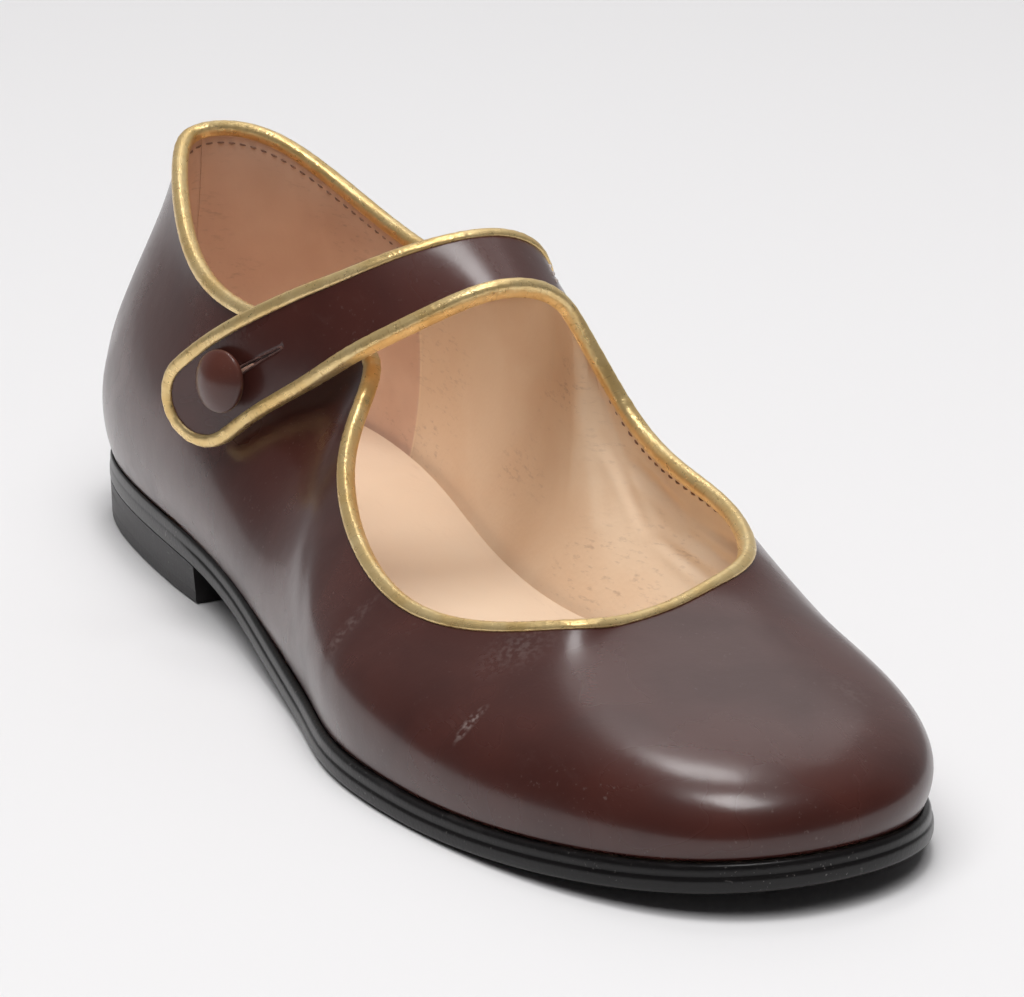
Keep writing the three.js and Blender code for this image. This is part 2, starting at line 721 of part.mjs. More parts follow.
// The origin lies under the middle of the whole shoe
const box = new THREE.Box3().setFromObject(group);
const middle = box.getCenter(new THREE.Vector3());
group.position.set(-middle.x, -middle.y, -box.min.z);
group.updateMatrixWorld(true);

export default group;
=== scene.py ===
# %% [markdown]
# # A right mary jane shoe in polished leather
# The shoe is a hollow upper of two skins, leather outside and a pale lining inside, on a thin
# black sole with a low heel. One gold binding runs round the collar, the throat and the strap
# without a break, and the strap buttons on the outer side. The scene first loads the packed
# solids, so that all it adds stands in their frame. Each skin is then made again as a fine
# smooth mesh on the same curves, because facets would show in the gloss.

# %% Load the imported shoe
import math

import bpy
import bmesh
import numpy as np
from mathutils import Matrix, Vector


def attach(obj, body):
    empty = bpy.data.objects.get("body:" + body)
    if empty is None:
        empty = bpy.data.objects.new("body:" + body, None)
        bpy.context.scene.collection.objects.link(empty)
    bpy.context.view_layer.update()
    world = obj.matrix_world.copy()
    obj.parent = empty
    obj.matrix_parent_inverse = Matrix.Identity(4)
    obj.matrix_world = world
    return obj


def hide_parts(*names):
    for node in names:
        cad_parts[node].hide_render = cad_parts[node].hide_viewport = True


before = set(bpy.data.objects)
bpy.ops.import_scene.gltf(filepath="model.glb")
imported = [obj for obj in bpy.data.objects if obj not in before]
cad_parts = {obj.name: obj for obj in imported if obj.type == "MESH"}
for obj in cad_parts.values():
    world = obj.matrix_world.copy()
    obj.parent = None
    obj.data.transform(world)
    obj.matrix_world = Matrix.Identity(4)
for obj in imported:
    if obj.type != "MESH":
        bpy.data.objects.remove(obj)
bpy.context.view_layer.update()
print("solids:", ", ".join(sorted(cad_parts)))

# %% [markdown]
# ## The camera
# The photo was taken from in front of the toe, on the shoe's outer side, with a long lens and
# a low stand. A long lens keeps the toe from swelling. The place follows from the perspective
# of the floor, so it is typed as a number. The camera stands there, looks at the middle of
# the shoe, and its lens is long enough to fill the picture with it.

# %% Stand the camera
CAMERA_PLACE = Vector((0.80646, -0.41586, 0.32763))
LOOK_AT = Vector((0.0037, 0.0084, 0.0316))
LENS_MM = 198.0

camera = bpy.data.objects.new("photo_camera", bpy.data.cameras.new("photo_camera"))
bpy.context.scene.collection.objects.link(camera)
camera.data.lens = LENS_MM
camera.data.sensor_width = 36.0
camera.location = CAMERA_PLACE
camera.rotation_mode = "QUATERNION"
camera.rotation_quaternion = (LOOK_AT - CAMERA_PLACE).to_track_quat("-Z", "Y")
camera.data.clip_start = 0.01
camera.data.clip_end = 60
bpy.context.scene.camera = camera
print("camera is", round(CAMERA_PLACE.length, 3), "m from the shoe")

# %% [markdown]
# ## Node helpers
# Every finish below is a small graph of nodes. Two helpers keep the cells short: one adds a
# node and fills its sockets, from numbers or from other nodes, and one mixes two colours.

# %% Helpers for node graphs
def add(tree, kind, inputs=None, **settings):
    """New shader node; inputs maps a socket's name or index to a number or another socket."""
    made = tree.nodes.new("ShaderNode" + kind)
    for name, value in settings.items():
        setattr(made, name, value)
    for key, value in (inputs or {}).items():
        if isinstance(value, bpy.types.NodeSocket):
            tree.links.new(value, made.inputs[key])
        else:
            made.inputs[key].default_value = value
    return made


def maths(tree, operation, a, b=0.0, clamp=False):
    """Result of one sum."""
    return add(tree, "Math", {0: a, 1: b}, operation=operation, use_clamp=clamp).outputs[0]


def blend(tree, share, a, b, way="MIX"):
    """Colour between a and b."""
    made = add(tree, "Mix", {0: share, 6: a, 7: b}, data_type="RGBA", blend_type=way)
    return made.outputs[2]


def span(tree, value, low, high, to_low=0.0, to_high=1.0):
    """Value stretched from one span to another, held at the ends."""
    sockets = {"Value": value, "From Min": low, "From Max": high, "To Min": to_low, "To Max": to_high}
    return add(tree, "MapRange", sockets).outputs[0]


def new_group(name, inputs, outputs):
    """Node group with named sockets."""
    tree = bpy.data.node_groups.new(name, "ShaderNodeTree")
    for label, kind, value in inputs:
        socket = tree.interface.new_socket(name=label, in_out="INPUT", socket_type="NodeSocket" + kind)
        if value is not None:
            socket.default_value = value
    for label, kind in outputs:
        tree.interface.new_socket(name=label, in_out="OUTPUT", socket_type="NodeSocket" + kind)
    return tree, tree.nodes.new("NodeGroupInput").outputs, tree.nodes.new("NodeGroupOutput").inputs


# %% [markdown]
# ## Shared surface effects
# Pores, a cloudy tone, rub marks and a little dust come back on most of the shoe's surfaces,
# each time at another scale. These four effects are node groups, built once and placed in a
# finish with its own values. They work on the object's place in metres, so nothing slides.

# %% Pores
def make_pores():
    """Height of small pits with rims between them. More softness makes the pits rounder."""
    tree, given, result = new_group(
        "pores",
        [("Vector", "Vector", None), ("Scale", "Float", 1500.0), ("Softness", "Float", 0.5)],
        [("Height", "Float")],
    )
    cells = add(tree, "TexVoronoi", {"Vector": given["Vector"], "Scale": given["Scale"]})
    wide = maths(tree, "MULTIPLY", given["Scale"], 0.37)
    swell = add(tree, "TexNoise", {"Vector": given["Vector"], "Scale": wide, "Detail": 1.0})
    flat = maths(tree, "POWER", cells.outputs["Distance"], maths(tree, "ADD", given["Softness"], 0.6))
    height = maths(tree, "MULTIPLY", flat, swell.outputs["Fac"])
    tree.links.new(height, result["Height"])
    return tree


pores = make_pores()
print("group:", pores.name)

# %% Cloudy tone
def make_cloudy_tone():
    """Slow drift from a light tone to a deep one."""
    tree, given, result = new_group(
        "cloudy_tone",
        [("Vector", "Vector", None), ("Scale", "Float", 40.0), ("Light", "Color", (1, 1, 1, 1)),
         ("Deep", "Color", (0, 0, 0, 1)), ("Depth", "Float", 1.0)],
        [("Color", "Color"), ("Mask", "Float")],
    )
    cloud = add(tree, "TexNoise", {"Vector": given["Vector"], "Scale": given["Scale"], "Detail": 3.0,
                                   "Distortion": 0.4})
    mask = span(tree, cloud.outputs["Fac"], 0.36, 0.66)
    share = maths(tree, "MULTIPLY", mask, given["Depth"], clamp=True)
    tree.links.new(blend(tree, share, given["Light"], given["Deep"]), result["Color"])
    tree.links.new(mask, result["Mask"])
    return tree


cloudy_tone = make_cloudy_tone()
print("group:", cloudy_tone.name)

# %% Rub marks
def make_rub_marks():
    """Mask of streaks, short along the axes with a large stretch, in patches."""
    tree, given, result = new_group(
        "rub_marks",
        [("Vector", "Vector", None), ("Scale", "Float", 60.0), ("Stretch", "Vector", (1, 8, 1)),
         ("Amount", "Float", 0.3)],
        [("Mask", "Float")],
    )
    longer = add(tree, "VectorMath", {0: given["Vector"], 1: given["Stretch"]}, operation="MULTIPLY")
    streak = add(tree, "TexNoise", {"Vector": longer.outputs[0], "Scale": given["Scale"], "Detail": 3.0,
                                    "Roughness": 0.65})
    patch = add(tree, "TexNoise", {"Vector": given["Vector"], "Scale": 45.0, "Detail": 1.0})
    thin = span(tree, streak.outputs["Fac"], 0.56, 0.72)
    some = span(tree, patch.outputs["Fac"], 0.5, 0.66)
    both = maths(tree, "MULTIPLY", thin, some)
    tree.links.new(maths(tree, "MULTIPLY", both, given["Amount"], clamp=True), result["Mask"])
    return tree


rub_marks = make_rub_marks()
print("group:", rub_marks.name)

# %% Dust
def make_dust():
    """Mask of fine specks that drift together."""
    tree, given, result = new_group(
        "dust",
        [("Vector", "Vector", None), ("Scale", "Float", 900.0), ("Amount", "Float", 0.3)],
        [("Mask", "Float")],
    )
    specks = add(tree, "TexNoise", {"Vector": given["Vector"], "Scale": given["Scale"], "Detail": 2.0})
    drift = add(tree, "TexNoise", {"Vector": given["Vector"], "Scale": 70.0, "Detail": 2.0})
    points = span(tree, specks.outputs["Fac"], 0.66, 0.74)
    haze = span(tree, drift.outputs["Fac"], 0.45, 0.75)
    both = maths(tree, "MULTIPLY", points, haze)
    tree.links.new(maths(tree, "MULTIPLY", both, given["Amount"], clamp=True), result["Mask"])
    return tree


dust = make_dust()
print("group:", dust.name)

# %% Place a group in a finish
def placed(tree, group, **values):
    """Outputs of a shared effect, set to this finish's values."""
    made = tree.nodes.new("ShaderNodeGroup")
    made.node_tree = group
    for name, value in values.items():
        if isinstance(value, bpy.types.NodeSocket):
            tree.links.new(value, made.inputs[name])
        else:
            made.inputs[name].default_value = value
    return made.outputs


def new_finish(name, **constants):
    """Material with a Principled shader, its constant sockets set directly."""
    material = bpy.data.materials.new(name)
    material.use_nodes = True
    tree = material.node_tree
    shader = tree.nodes["Principled BSDF"]
    for label, value in constants.items():
        shader.inputs[label.replace("_", " ")].default_value = value
    place = add(tree, "TexCoord").outputs["Object"]
    return material, tree, shader.inputs, place


def dress(tree, sockets, colour, rough, normal):
    """Link what a finish works out to its Principled shader."""
    for label, value in (("Base Color", colour), ("Roughness", rough), ("Normal", normal)):
        tree.links.new(value, sockets[label])


def bumped(tree, height, strength, distance):
    """Normal of a bump, its distance in metres."""
    sockets = {"Height": height, "Strength": strength, "Distance": distance}
    return add(tree, "Bump", sockets).outputs["Normal"]


def near(tree, place, centre, reach):
    """Mask that is 1 at a point of the shoe and 0 from reach (metres) on."""
    gap = add(tree, "VectorMath", {0: place, 1: centre}, operation="DISTANCE").outputs["Value"]
    return span(tree, gap, 0.0, reach, 1.0, 0.0)


# %% [markdown]
# ## Polished leather
# The upper is smooth calf leather in a very dark red-brown, dyed through, waxed and brushed.
# Its look is nearly all reflection, so the base colour is dark and even, with a cloudy tone
# where the dye took deeper. A thin coat gives the sharp part of the shine and the rougher
# base the wide part. The pores are so fine that they only soften the reflection.

# %% Scuffs at their own places
SCUFFS = [
    # place on the shoe in metres, stretch of the spot along x, y and z, reach in metres, strength
    ((0.0601, -0.0203, 0.0272), (1.0, 0.6, 1.0), 0.0065, 0.2),
    ((0.0672, -0.0327, 0.0188), (2.4, 0.7, 0.7), 0.0032, 0.95),
    ((0.0924, 0.0217, 0.0231), (0.8, 1.6, 1.0), 0.005, 0.25),
    ((0.0268, -0.0352, 0.0205), (3.0, 0.6, 0.5), 0.0068, 0.3),
]


def scuffed(tree, place):
    """Mask of the scuffs: broken spots of rubbed leather."""
    broken = add(tree, "TexNoise", {"Vector": place, "Scale": 1100.0, "Detail": 3.0}).outputs["Fac"]
    grains = span(tree, broken, 0.44, 0.62)
    total = 0.0
    for spot, stretch, reach, strength in SCUFFS:
        longer = add(tree, "VectorMath", {0: place, 1: stretch}, operation="MULTIPLY").outputs[0]
        centre = tuple(a * b for a, b in zip(spot, stretch))
        one = maths(tree, "MULTIPLY", near(tree, longer, centre, reach), strength)
        total = maths(tree, "ADD", one, total)
    return maths(tree, "MULTIPLY", total, grains, clamp=True)


print("scuffs:", len(SCUFFS))

# %% Finish of the upper
def leather_finish(name, light, deep, dull=0.0):
    """Dyed and waxed leather. dull is added to its roughness."""
    material, tree, sockets, place = new_finish(
        name, Specular_IOR_Level=0.5, Coat_Weight=0.35, Coat_Roughness=0.16)
    tone = placed(tree, cloudy_tone, Vector=place, Scale=55.0, Light=light, Deep=deep, Depth=0.85)
    marks = placed(tree, rub_marks, Vector=place, Scale=90.0, Stretch=(1.0, 7.0, 3.0), Amount=0.14)
    specks = placed(tree, dust, Vector=place, Scale=1300.0, Amount=0.25)
    scuff = scuffed(tree, place)
    colour = blend(tree, marks["Mask"], tone["Color"], (0.12, 0.075, 0.068, 1))
    colour = blend(tree, scuff, colour, (0.26, 0.2, 0.185, 1))
    colour = blend(tree, specks["Mask"], colour, (0.3, 0.25, 0.23, 1))
    grain = placed(tree, pores, Vector=place, Scale=1700.0, Softness=0.6)["Height"]
    slow = add(tree, "TexNoise", {"Vector": place, "Scale": 150.0, "Detail": 2.0}).outputs["Fac"]
    rough = span(tree, tone["Mask"], 0.0, 1.0, 0.25 + dull, 0.33 + dull)
    rough = maths(tree, "ADD", rough, maths(tree, "MULTIPLY", marks["Mask"], 0.5))
    rough = maths(tree, "ADD", rough, maths(tree, "MULTIPLY", scuff, 0.6))
    wave = bumped(tree, slow, 0.12, 0.0006)
    fine = add(tree, "Bump", {"Height": grain, "Strength": 0.1, "Distance": 0.0001, "Normal": wave})
    dress(tree, sockets, colour, rough, fine.outputs["Normal"])
    return material


polished_leather = leather_finish("polished_leather", (0.07, 0.0205, 0.0155, 1), (0.048, 0.0132, 0.0102, 1))
button_leather = leather_finish("button_leather", (0.105, 0.034, 0.024, 1), (0.065, 0.02, 0.0145, 1), 0.08)
print("finishes:", polished_leather.name, button_leather.name)

# %% [markdown]
# ## Lining and insole
# Inside is soft undyed leather. The front half is a warm peach, and the quarters behind the
# seam are lined with a browner, pinker skin that grips the heel; its tone is also painted
# darker for the shade that falls inside the heel. A mesh attribute named heel_lining says
# which skin a point belongs to, so the edge between them is as sharp as the real seam. The
# insole is the palest and the smoothest.

# %% Finish of the lining
def lining_finish():
    material, tree, sockets, place = new_finish("lining_leather", Specular_IOR_Level=0.35)
    behind = add(tree, "Attribute", attribute_name="heel_lining").outputs["Fac"]
    skin = span(tree, behind, -0.12, 0.12)
    front = placed(tree, cloudy_tone, Vector=place, Scale=60.0, Light=(0.95, 0.75, 0.55, 1),
                   Deep=(0.89, 0.66, 0.46, 1), Depth=0.8)["Color"]
    # The heel skin's colours are a browner, pinker leather, painted darker still for the shade inside the
    # heel.
    back = placed(tree, cloudy_tone, Vector=place, Scale=45.0, Light=(0.87, 0.63, 0.49, 1),
                  Deep=(0.75, 0.505, 0.38, 1), Depth=0.9)["Color"]
    marks = placed(tree, rub_marks, Vector=place, Scale=120.0, Stretch=(3.0, 3.0, 9.0), Amount=0.35)
    # Painted shade: the heel lining's darker tone stands partly for the shade inside the heel.
    colour = blend(tree, skin, front, back)
    colour = blend(tree, marks["Mask"], colour, (0.36, 0.22, 0.15, 1))
    grain = placed(tree, pores, Vector=place, Scale=1100.0, Softness=0.4)["Height"]
    rough = span(tree, skin, 0.0, 1.0, 0.48, 0.7)
    dress(tree, sockets, colour, rough, bumped(tree, grain, 0.25, 0.00015))
    return material


lining_leather = lining_finish()
print("finish:", lining_leather.name)

# %% Finish of the insole
def insole_finish():
    material, tree, sockets, place = new_finish("insole_leather", Specular_IOR_Level=0.4)
    tone = placed(tree, cloudy_tone, Vector=place, Scale=35.0, Light=(0.83, 0.655, 0.49, 1),
                  Deep=(0.78, 0.59, 0.425, 1), Depth=0.7)
    marks = placed(tree, rub_marks, Vector=place, Scale=140.0, Stretch=(1.0, 5.0, 1.0), Amount=0.25)
    grain = placed(tree, pores, Vector=place, Scale=1300.0, Softness=0.5)["Height"]
    colour = blend(tree, marks["Mask"], tone["Color"], (0.5, 0.33, 0.22, 1))
    rough = span(tree, tone["Mask"], 0.0, 1.0, 0.36, 0.46)
    dress(tree, sockets, colour, rough, bumped(tree, grain, 0.15, 0.0001))
    return material


insole_leather = insole_finish()
print("finish:", insole_leather.name)

# %% [markdown]
# ## Gold binding
# The binding is thin leather with a gold foil on it, folded over the edge. The foil is a
# metal with a brushed, slightly broken shine, and it wrinkles across the fold wherever the
# edge bends. The strip carries a UV map in millimetres, along and across, so the wrinkles
# can run across it all the way round. Amber shows where the foil is creased.

# %% Finish of the binding
def foil_finish():
    material, tree, sockets, place = new_finish("gold_foil", Specular_IOR_Level=0.5)
    strip = add(tree, "UVMap", uv_map="strip").outputs["UV"]
    fine = add(tree, "Mapping", {"Vector": strip, "Scale": (1.6, 0.35, 1.0)}).outputs[0]
    creases = add(tree, "TexNoise", {"Vector": fine, "Scale": 1.0, "Detail": 3.0, "Roughness": 0.6})
    broad = add(tree, "Mapping", {"Vector": strip, "Scale": (0.45, 0.6, 1.0)}).outputs[0]
    folds = add(tree, "TexNoise", {"Vector": broad, "Scale": 1.0, "Detail": 2.0, "Distortion": 0.6})
    tone = placed(tree, cloudy_tone, Vector=place, Scale=120.0, Light=(0.97, 0.74, 0.37, 1),
                  Deep=(0.80, 0.53, 0.19, 1), Depth=0.7)
    grain = placed(tree, pores, Vector=place, Scale=2200.0, Softness=0.3)["Height"]
    worn = span(tree, creases.outputs["Fac"], 0.58, 0.74)
    colour = blend(tree, maths(tree, "MULTIPLY", worn, 0.6), tone["Color"], (0.38, 0.2, 0.06, 1))
    rough = span(tree, folds.outputs["Fac"], 0.35, 0.7, 0.27, 0.42)
    high = maths(tree, "ADD", maths(tree, "MULTIPLY", creases.outputs["Fac"], 0.7), folds.outputs["Fac"])
    high = maths(tree, "ADD", high, maths(tree, "MULTIPLY", grain, 0.5))
    tree.links.new(span(tree, worn, 0.0, 1.0, 0.72, 0.5), sockets["Metallic"])
    dress(tree, sockets, colour, rough, bumped(tree, high, 0.35, 0.0003))
    return material


gold_foil = foil_finish()
print("finish:", gold_foil.name)

# %% [markdown]
# ## Sole and heel
# The sole's edge is black and inked to a dull gloss, and the heel is a black rubber block with
# a satin side. Black things are seen only by what they reflect, so the pale floor turns the
# low edge grey. Short rub marks run round the edge, with dust in them.

# %% Finishes of the sole and the heel
def rubber_finish(name, colour, rough, marks_amount):
    material, tree, sockets, place = new_finish(name, Specular_IOR_Level=0.36)
    tone = placed(tree, cloudy_tone, Vector=place, Scale=80.0, Light=colour,
                  Deep=tuple(0.6 * c for c in colour[:3]) + (1,), Depth=0.8)
    marks = placed(tree, rub_marks, Vector=place, Scale=70.0, Stretch=(1.0, 1.0, 9.0), Amount=marks_amount)
    specks = placed(tree, dust, Vector=place, Scale=1500.0, Amount=0.7)
    grain = placed(tree, pores, Vector=place, Scale=1600.0, Softness=0.2)["Height"]
    shade = blend(tree, marks["Mask"], tone["Color"], (0.07, 0.066, 0.066, 1))
    shade = blend(tree, specks["Mask"], shade, (0.32, 0.3, 0.29, 1))
    rough_now = maths(tree, "ADD", maths(tree, "MULTIPLY", marks["Mask"], 0.3), rough)
    dress(tree, sockets, shade, rough_now, bumped(tree, grain, 0.3, 0.00012))
    return material


sole_rubber = rubber_finish("sole_rubber", (0.009, 0.008, 0.0082, 1), 0.3, 0.4)
heel_rubber = rubber_finish("heel_rubber", (0.022, 0.0195, 0.0205, 1), 0.42, 0.4)
print("finishes:", sole_rubber.name, heel_rubber.name)

# %% [markdown]
# ## Thread
# The thread is waxed and three-ply. A wave texture along each stitch would be finer than a
# pixel, so a noise breaks its tone and its bump instead.

# %% Finish of the thread
def thread_finish(name, light, deep):
    material, tree, sockets, place = new_finish(name, Sheen_Weight=0.3, Specular_IOR_Level=0.3)
    tone = placed(tree, cloudy_tone, Vector=place, Scale=900.0, Light=light, Deep=deep, Depth=1.0)
    grain = placed(tree, pores, Vector=place, Scale=5000.0, Softness=0.1)["Height"]
    rough = span(tree, tone["Mask"], 0.0, 1.0, 0.55, 0.75)
    dress(tree, sockets, tone["Color"], rough, bumped(tree, grain, 0.6, 0.00008))
    return material


pale_thread = thread_finish("pale_thread", (0.55, 0.49, 0.46, 1), (0.36, 0.31, 0.29, 1))
brown_thread = thread_finish("brown_thread", (0.42, 0.25, 0.18, 1), (0.26, 0.14, 0.1, 1))
buttonhole_thread = thread_finish("buttonhole_thread", (0.16, 0.075, 0.06, 1), (0.06, 0.024, 0.02, 1))
print("finishes:", pale_thread.name, brown_thread.name, buttonhole_thread.name)

# %% [markdown]
# ## The last and its rows
# A shoe is drawn over a wooden form, the last. Twenty rows round it say where the wall of the
# upper meets the sole, where its top line runs and how far it bows out between. The rows are
# the solid's own, in shares of the length, the width and the quarter's height. Natural
# cubic splines join them, so the fine skins lie exactly where the solid lies.

# %% Sizes in millimetres
LAST_LENGTH = 240.0
BALL_WIDTH = 80.0
QUARTER_HEIGHT = 58.0
HEEL_HEIGHT = 7.3
TOE_SPRING = 4.6
SOLE_THICKNESS = 4.8
BREAST_X = 64.0
SEAT_FLAT = 51.0
TREAD_START_X = 142.0
TREAD_END_X = 178.0
SPRING_POWER = 1.6
UPPER_WALL = 1.8
STRAP_WIDTH = 17.5
STRAP_THICKNESS = 2.2
CLEARANCE = 0.3
BINDING_THICKNESS = 0.6
PROUD = CLEARANCE + BINDING_THICKNESS
STRAP_CORE = STRAP_WIDTH / 2 - PROUD
PLUMB_PULL = 0.6
MIDDLE = np.array([118.92411, -4.92308, 0.0])
UP = np.array([0.0, 0.0, 1.0])


def to_frame(points):
    """Millimetres from the heel's back to metres from the shoe's middle."""
    return (np.asarray(points, float) - MIDDLE) * 0.001


print("last:", LAST_LENGTH, "mm long and", BALL_WIDTH, "mm wide at the ball")

# %% Rows round the upper and along the strap
NONE = float("nan")
ROWS = np.array([
    # foot x, foot y, top x, top y, rise, swell out, swell up, lean out, lean down
    [0.402, 0.211, NONE, NONE, NONE, 0.1, 0.345, 0.08, 0.15],
    [0.326, 0.243, 0.313, 0.322, 0.764, 0.088, 0.31, 0.026, 0.205],
    [0.142, 0.314, 0.163, 0.284, 0.792, 0.05, 0.31, 0.013, 0.24],
    [0.033, 0.226, 0.063, 0.152, 0.985, 0.06, 0.36, 0.013, 0.24],
    [0, 0, 0.016, 0.005, 1, 0.07, 0.36, 0.03, 0.24],
    [0.018, -0.219, 0.063, -0.115, 0.935, 0.085, 0.34, 0.045, 0.25],
    [0.142, -0.329, 0.175, -0.225, 0.757, 0.075, 0.29, 0.045, 0.24],
    [0.308, -0.373, 0.3, -0.21, 0.724, 0.08, 0.275, 0.055, 0.205],
    [0.417, -0.416, 0.4, -0.13, 0.753, 0.08, 0.26, 0.055, 0.2],
    [0.545, -0.489, 0.465, -0.285, 0.565, 0.06, 0.26, 0.074, 0.174],
    [0.655, -0.555, 0.632, -0.395, 0.4, 0.03, 0.24, 0.118, 0.128],
    [0.822, -0.5, 0.742, -0.24, 0.435, 0.025, 0.21, 0.205, 0.136],
    [0.96, -0.296, 0.757, -0.115, 0.437, 0.04, 0.2, 0.36, 0.14],
    [0.994, 0, 0.744, 0.03, 0.435, 0.06, 0.25, 0.415, 0.145],
    [0.955, 0.243, 0.725, 0.165, 0.45, 0.085, 0.24, 0.325, 0.17],
    [0.855, 0.374, 0.69, 0.31, 0.467, 0.055, 0.2, 0.15, 0.2],
    [0.72, 0.425, 0.617, 0.389, 0.503, 0.038, 0.245, 0.089, 0.19],
    [0.616, 0.355, 0.552, 0.3785, 0.55, 0.055, 0.258, 0.075, 0.192],
    [0.537, 0.248, 0.486, 0.364, 0.647, 0.071, 0.27, 0.061, 0.195],
    [0.464, 0.207, NONE, NONE, NONE, 0.098, 0.31, 0.08, 0.13],
])
STRAP_ROWS = np.array([
    # x, y, rise, then how far the face turns to the inner side and leans to the toe, degrees
    [0.43, 0.277, 0.925, 68, 16],
    [0.431, 0.2375, 0.989, 30, 23],
    [0.4316, 0.15, 1.029, -5, 21],
    [0.4263, 0.018, 1.008, -28, 19],
    [0.4045, -0.148, 0.8985, -30, 30],
])
STRAP_RESTS = np.array([
    # row and height on the outer quarter's wall, bow off it, turn and lean in degrees
    [7.485, 0.881, 0.0744, -88, 11],
    [7.175, 0.691, 0.0767, -99, 18],
    [6.874, 0.482, 0.0616, -89, 27],
])
BUTTON_PLACE = len(STRAP_ROWS) + 1
EAR_FRONT = len(ROWS) - 1
print(len(ROWS), "rows round the upper,", len(STRAP_ROWS) + len(STRAP_RESTS), "along the strap")

# %% Splines
def spline(values):
    """Natural cubic spline through values (or points) at 0, 1, 2, ..."""
    values = np.asarray(values, float)
    last = len(values) - 1
    system = np.eye(last + 1)
    pull = np.zeros_like(values)
    for k in range(1, last):
        system[k, k - 1:k + 2] = 1, 4, 1
    pull[1:last] = 6 * (values[2:] - 2 * values[1:-1] + values[:-2])
    bend = np.linalg.solve(system, pull)

    def at(u):
        u = np.asarray(u, float)
        k = np.clip(np.floor(u).astype(int), 0, last - 1)
        t = u - k
        if values.ndim == 2:
            t = t[..., None]
        s = 1 - t
        curve = s * values[k] + t * values[k + 1]
        return curve + ((s ** 3 - s) * bend[k] + (t ** 3 - t) * bend[k + 1]) / 6

    return at


def closed_spline(values):
    """The same spline closed on itself."""
    values = np.asarray(values, float)
    count = len(values)
    curve = spline(np.concatenate([values] * 3))
    return lambda u: curve(np.mod(u, count) + count)


def unit(vectors):
    return vectors / np.linalg.norm(vectors, axis=-1, keepdims=True)


def ease(t):
    """Soft step from 0 to 1."""
    t = np.clip(t, 0, 1)
    return t * t * (3 - 2 * t)


print("spline through 0, 1, 0 halfway to its crest:", round(float(spline([0, 1, 0])(0.5)), 4))

# %% Sole line and foot of the wall
def sole_bottom(x):
    arch = HEEL_HEIGHT * (1 - ease((x - SEAT_FLAT) / (TREAD_START_X - SEAT_FLAT)))
    run = np.maximum((x - TREAD_END_X) / (LAST_LENGTH - TREAD_END_X), 0)
    return arch + TOE_SPRING * run ** SPRING_POWER


def sole_top(x):
    return sole_bottom(x) + SOLE_THICKNESS


foot_line = closed_spline(ROWS[:, :2] * [LAST_LENGTH, BALL_WIDTH])
swell = closed_spline(ROWS[:, 5:7] * [BALL_WIDTH, QUARTER_HEIGHT])
lean = closed_spline(ROWS[:, 7:9] * [BALL_WIDTH, QUARTER_HEIGHT])


def foot_normal(u):
    """Way out from the last's outline, in plan."""
    step = foot_line(u + 1e-3) - foot_line(u - 1e-3)
    return unit(np.stack([step[..., 1], -step[..., 0], 0 * step[..., 0]], -1))


def raised(x, y, rise):
    """Points from shares of the last's length, its width and the quarter's height."""
    high = sole_top(x * LAST_LENGTH) + rise * QUARTER_HEIGHT
    return np.stack([x * LAST_LENGTH, y * BALL_WIDTH, high], -1)


print("arch at the waist:", round(float(sole_bottom(LAST_LENGTH * 0.4)), 1), "mm off the floor")

# %% Wall of the upper
def wall(top_line, u, w):
    """Outer face of the wall: row u round the shoe, height w from foot (0) to top line (1)."""
    u, w = np.broadcast_arrays(np.asarray(u, float), np.asarray(w, float))
    normal = foot_normal(u)
    plan = foot_line(u)
    foot = np.stack([plan[..., 0], plan[..., 1], sole_top(plan[..., 0]) + CLEARANCE], -1)
    top = top_line(u)
    out, up = swell(u)[..., :1], swell(u)[..., 1:]
    low = foot + normal * out + UP * up
    along = unit(top_line(u + 0.5) - top_line(u - 0.5))
    down = unit(unit(np.cross(along, normal)) - PLUMB_PULL * UP)
    high = top + normal * lean(u)[..., :1] + down * lean(u)[..., 1:]
    w = w[..., None]
    v = 1 - w
    return foot * v ** 3 + low * 3 * v * v * w + high * 3 * v * w * w + top * w ** 3


def wall_normal(top_line, u, w):
    step = 1e-3
    along = wall(top_line, u + step, w) - wall(top_line, u - step, w)
    rise = wall(top_line, u, w + step) - wall(top_line, u, w - step)
    return unit(np.cross(along, rise))


open_points = raised(*ROWS[1:EAR_FRONT, 2:5].T)
open_line = spline(open_points)


def quarter_line(u):
    """Rim by its row, without the strap's ear."""
    return open_line(u - 1)


print("rim:", round(float(open_points[:, 2].min()), 1), "mm high at its lowest")

# %% Path of the strap
def strap_controls():
    row, height, bow = STRAP_RESTS[:, :3].T
    off = 2 * PROUD + CLEARANCE + STRAP_THICKNESS / 2 + bow * QUARTER_HEIGHT
    seats = wall(quarter_line, row, height) + wall_normal(quarter_line, row, height) * off[:, None]
    points = np.vstack([raised(*STRAP_ROWS[:, :3].T), seats])
    turn, lean_over = np.radians(np.vstack([STRAP_ROWS, STRAP_RESTS])[:, 3:]).T
    faces = np.stack([np.sin(lean_over), np.cos(lean_over) * np.sin(turn),
                      np.cos(lean_over) * np.cos(turn)], -1)
    return spline(points), spline(faces)


strap_path, strap_facing = strap_controls()
STRAP_END = len(STRAP_ROWS) + len(STRAP_RESTS) - 1
strap_places = np.linspace(0, STRAP_END, 401)
strap_reach = np.concatenate(
    [[0], np.cumsum(np.linalg.norm(np.diff(strap_path(strap_places), axis=0), axis=1))])
STRAP_LENGTH = strap_reach[-1]
BUTTON_LENGTH = float(np.interp(BUTTON_PLACE, strap_places, strap_reach))


def strap_frame(length):
    """Point, way ahead, way across and way out of the band at a length along it."""
    u = np.interp(length, strap_reach, strap_places)
    point = strap_path(u)
    ahead = unit(strap_path(u + 1e-3) - strap_path(u - 1e-3))
    across = unit(np.cross(strap_facing(u), ahead))
    return point, ahead, across, np.cross(ahead, across)


